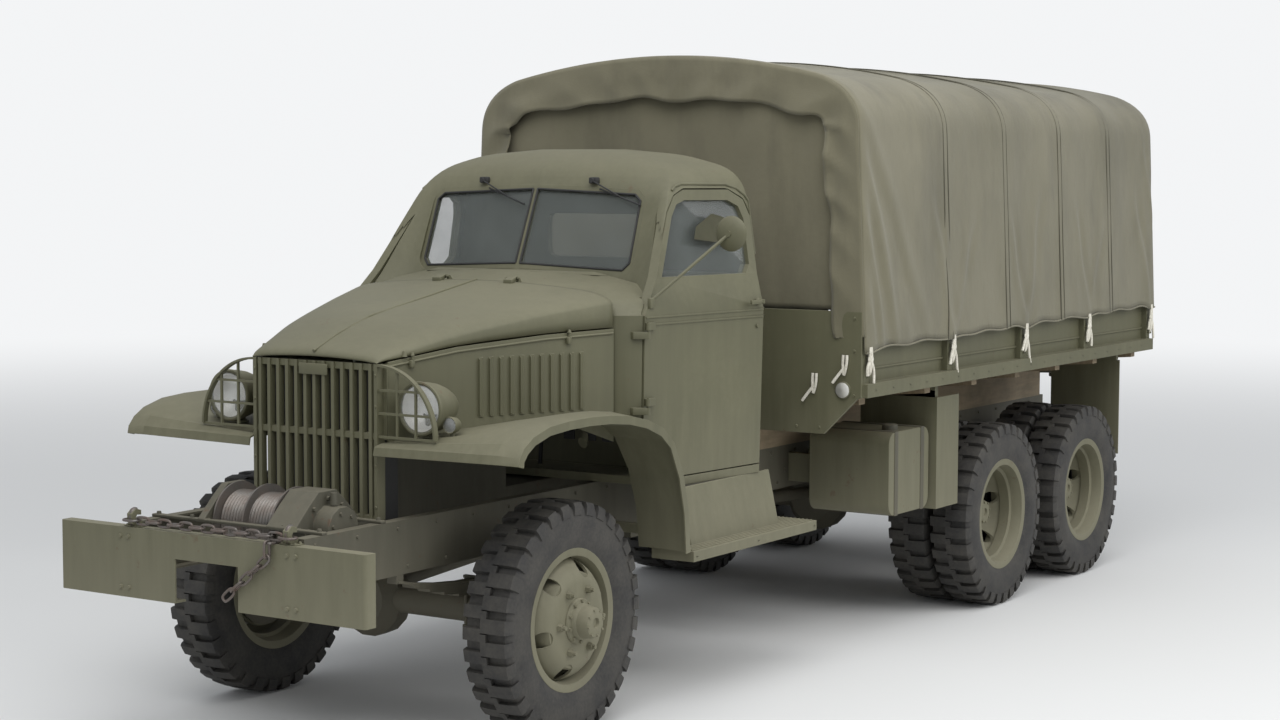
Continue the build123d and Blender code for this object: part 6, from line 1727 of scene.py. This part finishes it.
@dataclass(frozen=True)
class BodyTrim:
    """Ribs, bolts, reflectors, lamps and steps of the cargo body and chassis."""

    reflector: tuple[float, float, float] = (1003, 1975, 1238)
    tail: float = 5640
    gate: float = 5704
    lamp: float = 520
    pintle: float = 800

    def sides(self) -> None:
        """Bolts, rub rails and reflectors of the cargo body."""
        work = Work()
        for place in (2000, 2890, 3775, 4640):
            for height in (1300, 1390):
                work.bolt(spot(1094, place + 32, height), LEFT, 8, 5)
        for place in range(2080, 5640, 178):
            work.bolt(spot(1117.5, place, 1236), LEFT, 7, 0)
        work.rod(spot(1064, 2010, 1330), spot(1064, self.tail, 1330), 6, 8)
        for across, height in ((880, 1060), (760, 1060), (1058, 1215), (1058, 1420), (1058, 1570)):
            work.bolt(spot(across, 1975, height), AHEAD, 8, 6)
        work.turned([(0, 40), (9, 40), (12, 36)], spot(*self.reflector), AHEAD, 28)
        work.mirrored()
        work.done("body_bolts", Finish.OLIVE)
        eyes = Work().turned([(10, 36), (14, 26), (16, 0.5)], spot(*self.reflector), AHEAD, 28)
        eyes.mirrored()
        eyes.done("body_reflectors", Finish.REFLECTOR)

    def rear(self) -> None:
        """Tail lamps, the pintle hook's plate and the tailgate's latches."""
        lens = [(0, 19), (5, 19), (7, 14), (8, 0.5)]
        lamps = Work()
        for side in (-1, 1):
            middle = side * self.lamp
            lamps.block(spot(middle - 55, 5646, 1010), spot(middle + 55, 5690, 1080), 8, 3)
            lamps.rod(spot(middle, 5646, 1045), spot(side * 430, 5600, 1045), 10, 10)
            for across in (-26, 26):
                lamps.turned(lens, spot(middle + across, 5690, 1045), BACK, 20)
        lamps.turned([(0, 52), (8, 50), (14, 34), (22, 30)], spot(0, self.tail + 8, self.pintle), BACK, 28)
        lamps.hexes(spot(0, self.tail + 20, self.pintle), BACK, 62, 4, 9, 8, math.pi / 4)
        lamps.done("tail_lamps_and_pintle_plate", Finish.CHASSIS)
        gate = Work()
        for side in (-1, 1):
            latch = side * 1012
            gate.block(spot(latch - 14, self.gate - 4, 1480), spot(latch + 14, self.gate, 1580), 2)
            for height in (1300, 1450, 1560):
                gate.bolt(spot(side * 1010, self.gate, height), BACK, 8, 0)
        gate.done("tailgate_latches", Finish.OLIVE, Body.TAILGATE)

    def boards(self) -> None:
        """Tread ribs on the running boards, and bolts."""
        work = Work()
        for across in range(812, 812 + 9 * 21, 21):
            work.rod(spot(across, 690, 666), spot(across, 1725, 666), 3.5, 6)
        for place in (700, 1210, 1715):
            work.bolt(spot(1000, place, 642), LEFT, 7, 0)
        work.mirrored()
        work.done("running_board_ribs", Finish.OLIVE)

    def frame_parts(self) -> None:
        """Spring clips, shackle pins, frame bolts and the fuel tank's straps and cap."""
        work = Work()
        for side in (-1, 1):
            spring, rail = side * 405, side * 430
            for place in (-52, 52):
                for across in (side * 369, side * 441):
                    work.rod(spot(across, place, 400), spot(across, place, 612), 8, 10)
                work.block(spot(spring - 44, place - 10, 602), spot(spring + 44, place + 10, 614), 2)
            work.block(spot(spring - 46, -64, 398), spot(spring + 46, 64, 412), 3)
            for place in (2460, 2740):
                work.rod(spot(side * 434, place, 780), spot(side * 426, place, 780), 14, 10)
            for place in range(-1040, 5600, 240):
                work.bolt(spot(rail, place, 870), outwards(side), 9, 6)
                work.bolt(spot(rail, place + 60, 720), outwards(side), 9, 6)
        strap = ((596, 597, 1032, 603), (596, 997, 1032, 1003), (1027, 597, 1033, 1003))
        for place in (2470, 2750):
            for near, low, far, high in strap:
                work.block(spot(near, place - 18, low), spot(far, place + 18, high), 1)
        work.turned([(0, 38), (26, 38), (30, 30), (30, 0.5)], spot(960, 2540, 1000), UP, 28)
        work.done("chassis_fittings", Finish.CHASSIS)

    def build(self) -> None:
        """Builds every trim piece of body and chassis."""
        self.sides()
        self.rear()
        self.boards()
        self.frame_parts()


CARRIED: dict[Finish, dict[str, float]] = {
    Finish.CHASSIS: {
        "frame": 2.0, "winch_housing": 4.0, "powertrain": 8.0, "axles": 4.0, "leaf_springs": 1.5,
        "prop_shafts": 0.0, "knuckle_left": 3.0, "knuckle_right": 3.0, "tie_rod": 1.0,
    },
    Finish.OLIVE: {
        "front_bumper": 3.0, "grille": 2.5, "hood_sides": 2.0, "front_fenders": 3.0, "cab_floor": 2.0,
        "windshield_frame": 3.0, "seat_base": 4.0, "dashboard": 4.0, "running_boards": 3.0,
        "fuel_tank": 3.0, "spare_wheel": 2.0, "cargo_sides": 2.5, "splash_guards": 1.5, "left_door": 4.0,
        "right_door": 4.0, "tailgate": 2.5,
    },
    Finish.GLASS: {"cab_glass": 0.0, "left_door_glass": 0.0, "right_door_glass": 0.0},
    Finish.DECK: {"cargo_floor": 1.5, "cover_bows": 2.0},
    # The radiator is black: partly its own dark core, partly painted shade of the deep recess behind the
    # grille bars.
    Finish.BLACK: {"radiator": 2.0},
    Finish.IRON: {"exhaust": 3.0},
}
EDGE_ANGLE = 32.0
EDGE_ANGLES = {"front_fenders": 40.0}


def finish_carried() -> None:
    """Gives every solid that is still shown its paint, and rounds its edges by its millimetres."""
    for finish, radii in CARRIED.items():
        for name, radius in radii.items():
            node = frame["nodes"][name]
            node.data.materials.clear()
            node.data.materials.append(SHOP.material(finish))
            if radius > 0:
                soften(node, radius, EDGE_ANGLES.get(name, EDGE_ANGLE))
            LOG.info("carried %s", name)


def soften(node: bpy.types.Object, radius: float, angle: float) -> None:
    """Rounds the edges of a solid that are sharper than an angle in degrees."""
    weld = node.modifiers.new("weld", "WELD")
    weld.merge_threshold = mm(0.02)
    flat = node.modifiers.new("flat_faces", "DECIMATE")
    flat.decimate_type = "DISSOLVE"
    flat.angle_limit = math.radians(0.6)
    bevel = node.modifiers.new("rounded_edges", "BEVEL")
    bevel.width = mm(radius)
    bevel.segments = 2
    bevel.limit_method = "ANGLE"
    bevel.angle_limit = math.radians(angle)
    bevel.harden_normals = False
    shading = node.modifiers.new("shading", "WEIGHTED_NORMAL")
    shading.mode = "FACE_AREA_WITH_ANGLE"
    shading.keep_sharp = False


@dataclass(frozen=True)
class Studio:
    """A pale floor, a pale backdrop, soft light and the photograph's camera."""

    camera_at: tuple[float, float, float] = (5.947, FRONT_AXLE - 7.397, 2.223)
    yaw: float = 32.87
    pitch: float = -4.6
    roll: float = 0.18
    lens: float = 64.9
    backdrop: Colour = (0.9, 0.91, 0.92)
    sky: Colour = (0.93, 0.96, 1.0)
    pale: Colour = (0.74, 0.74, 0.73)
    fade_from: float = 4.5
    fade_to: float = 22.0
    lamps: Sequence[tuple[str, tuple[float, float, float], float, float]] = (
        ("sky_light", (3.0, -5.0, 9.0), 8.0, 620.0),
        ("side_light", (9.0, 2.0, 6.0), 6.0, 360.0),
    )

    def floor(self) -> None:
        """A wide floor that fades into the backdrop behind the truck."""
        bm = bmesh.new()
        bmesh.ops.create_grid(bm, x_segments=1, y_segments=1, size=60.0)
        made = linked("floor", mesh_of(bm, "floor"))
        bench = Bench("floor_pale")
        near = bench.node("ShaderNodeBsdfPrincipled", {}, {"Base Color": self.pale, "Roughness": 0.9})
        far = bench.node("ShaderNodeEmission", {}, {"Color": self.backdrop})
        reach = bench.node("ShaderNodeVectorMath", {"operation": "LENGTH"}, {0: bench.place()}, "Value")
        fade = bench.node("ShaderNodeMapRange", {"interpolation_type": "SMOOTHSTEP"},
                          {"Value": reach, "From Min": self.fade_from, "From Max": self.fade_to}, "Result")
        seen = bench.node("ShaderNodeLightPath", {}, {}, "Is Camera Ray")
        bench.output(bench.node("ShaderNodeMixShader", {}, {0: seen * fade, 1: near, 2: far}))
        made.data.materials.append(bench.made)

    def world(self) -> None:
        """An even pale sky, and the backdrop where the camera looks past the floor."""
        bench = Bench("studio", True)
        camera = bench.node("ShaderNodeLightPath", {}, {}, "Is Camera Ray")
        through = bench.node("ShaderNodeLightPath", {}, {}, "Is Transmission Ray")
        seen = bench.node("ShaderNodeMath", {"operation": "MAXIMUM"}, {0: camera, 1: through})
        soft = bench.node("ShaderNodeBackground", {}, {"Color": self.sky, "Strength": 0.62})
        plain = bench.node("ShaderNodeBackground", {}, {"Color": self.backdrop, "Strength": 1.0})
        bench.output(bench.node("ShaderNodeMixShader", {}, {0: seen, 1: soft, 2: plain}))
        bpy.context.scene.world = bench.made

    def lamp(self, name: str, where: Vector, size: float, power: float) -> None:
        """A square soft lamp that looks at the truck."""
        light = bpy.data.lights.new(name, "AREA")
        light.size = size
        light.energy = power
        made = linked(name, light)
        made.location = where
        made.rotation_mode = "QUATERNION"
        made.rotation_quaternion = (Vector((0, 0, 1.1)) - where).to_track_quat("-Z", "Y")

    def camera(self) -> None:
        """The camera where the photograph was taken from."""
        data = bpy.data.cameras.new("camera")
        data.lens = self.lens
        data.sensor_width = 36.0
        data.clip_end = 200.0
        made = linked("camera", data)
        turn = Matrix.Identity(4)
        for angle, axis in ((self.yaw, "Z"), (90 + self.pitch, "X"), (self.roll, "Z")):
            turn = turn @ Matrix.Rotation(math.radians(angle), 4, axis)
        made.matrix_world = Matrix.Translation(self.camera_at) @ turn
        bpy.context.scene.camera = made

    def build(self) -> None:
        """Sets the stage."""
        self.floor()
        self.world()
        for name, where, size, power in self.lamps:
            self.lamp(name, Vector(where), size, power)
        self.camera()
        bpy.context.scene.view_settings.view_transform = "Standard"


def main() -> None:
    """Builds the truck's looks in order."""
    logging.basicConfig(level=logging.INFO, format="%(message)s")
    for part in (Studio(), Running(), Cover(), TieRopes(), Seat(), FrontEnd(), SmoothCab(), SmoothHood(),
                 CabTrim(), BodyTrim()):
        part.build()
    finish_carried()


if __name__ == "__main__":
    main()
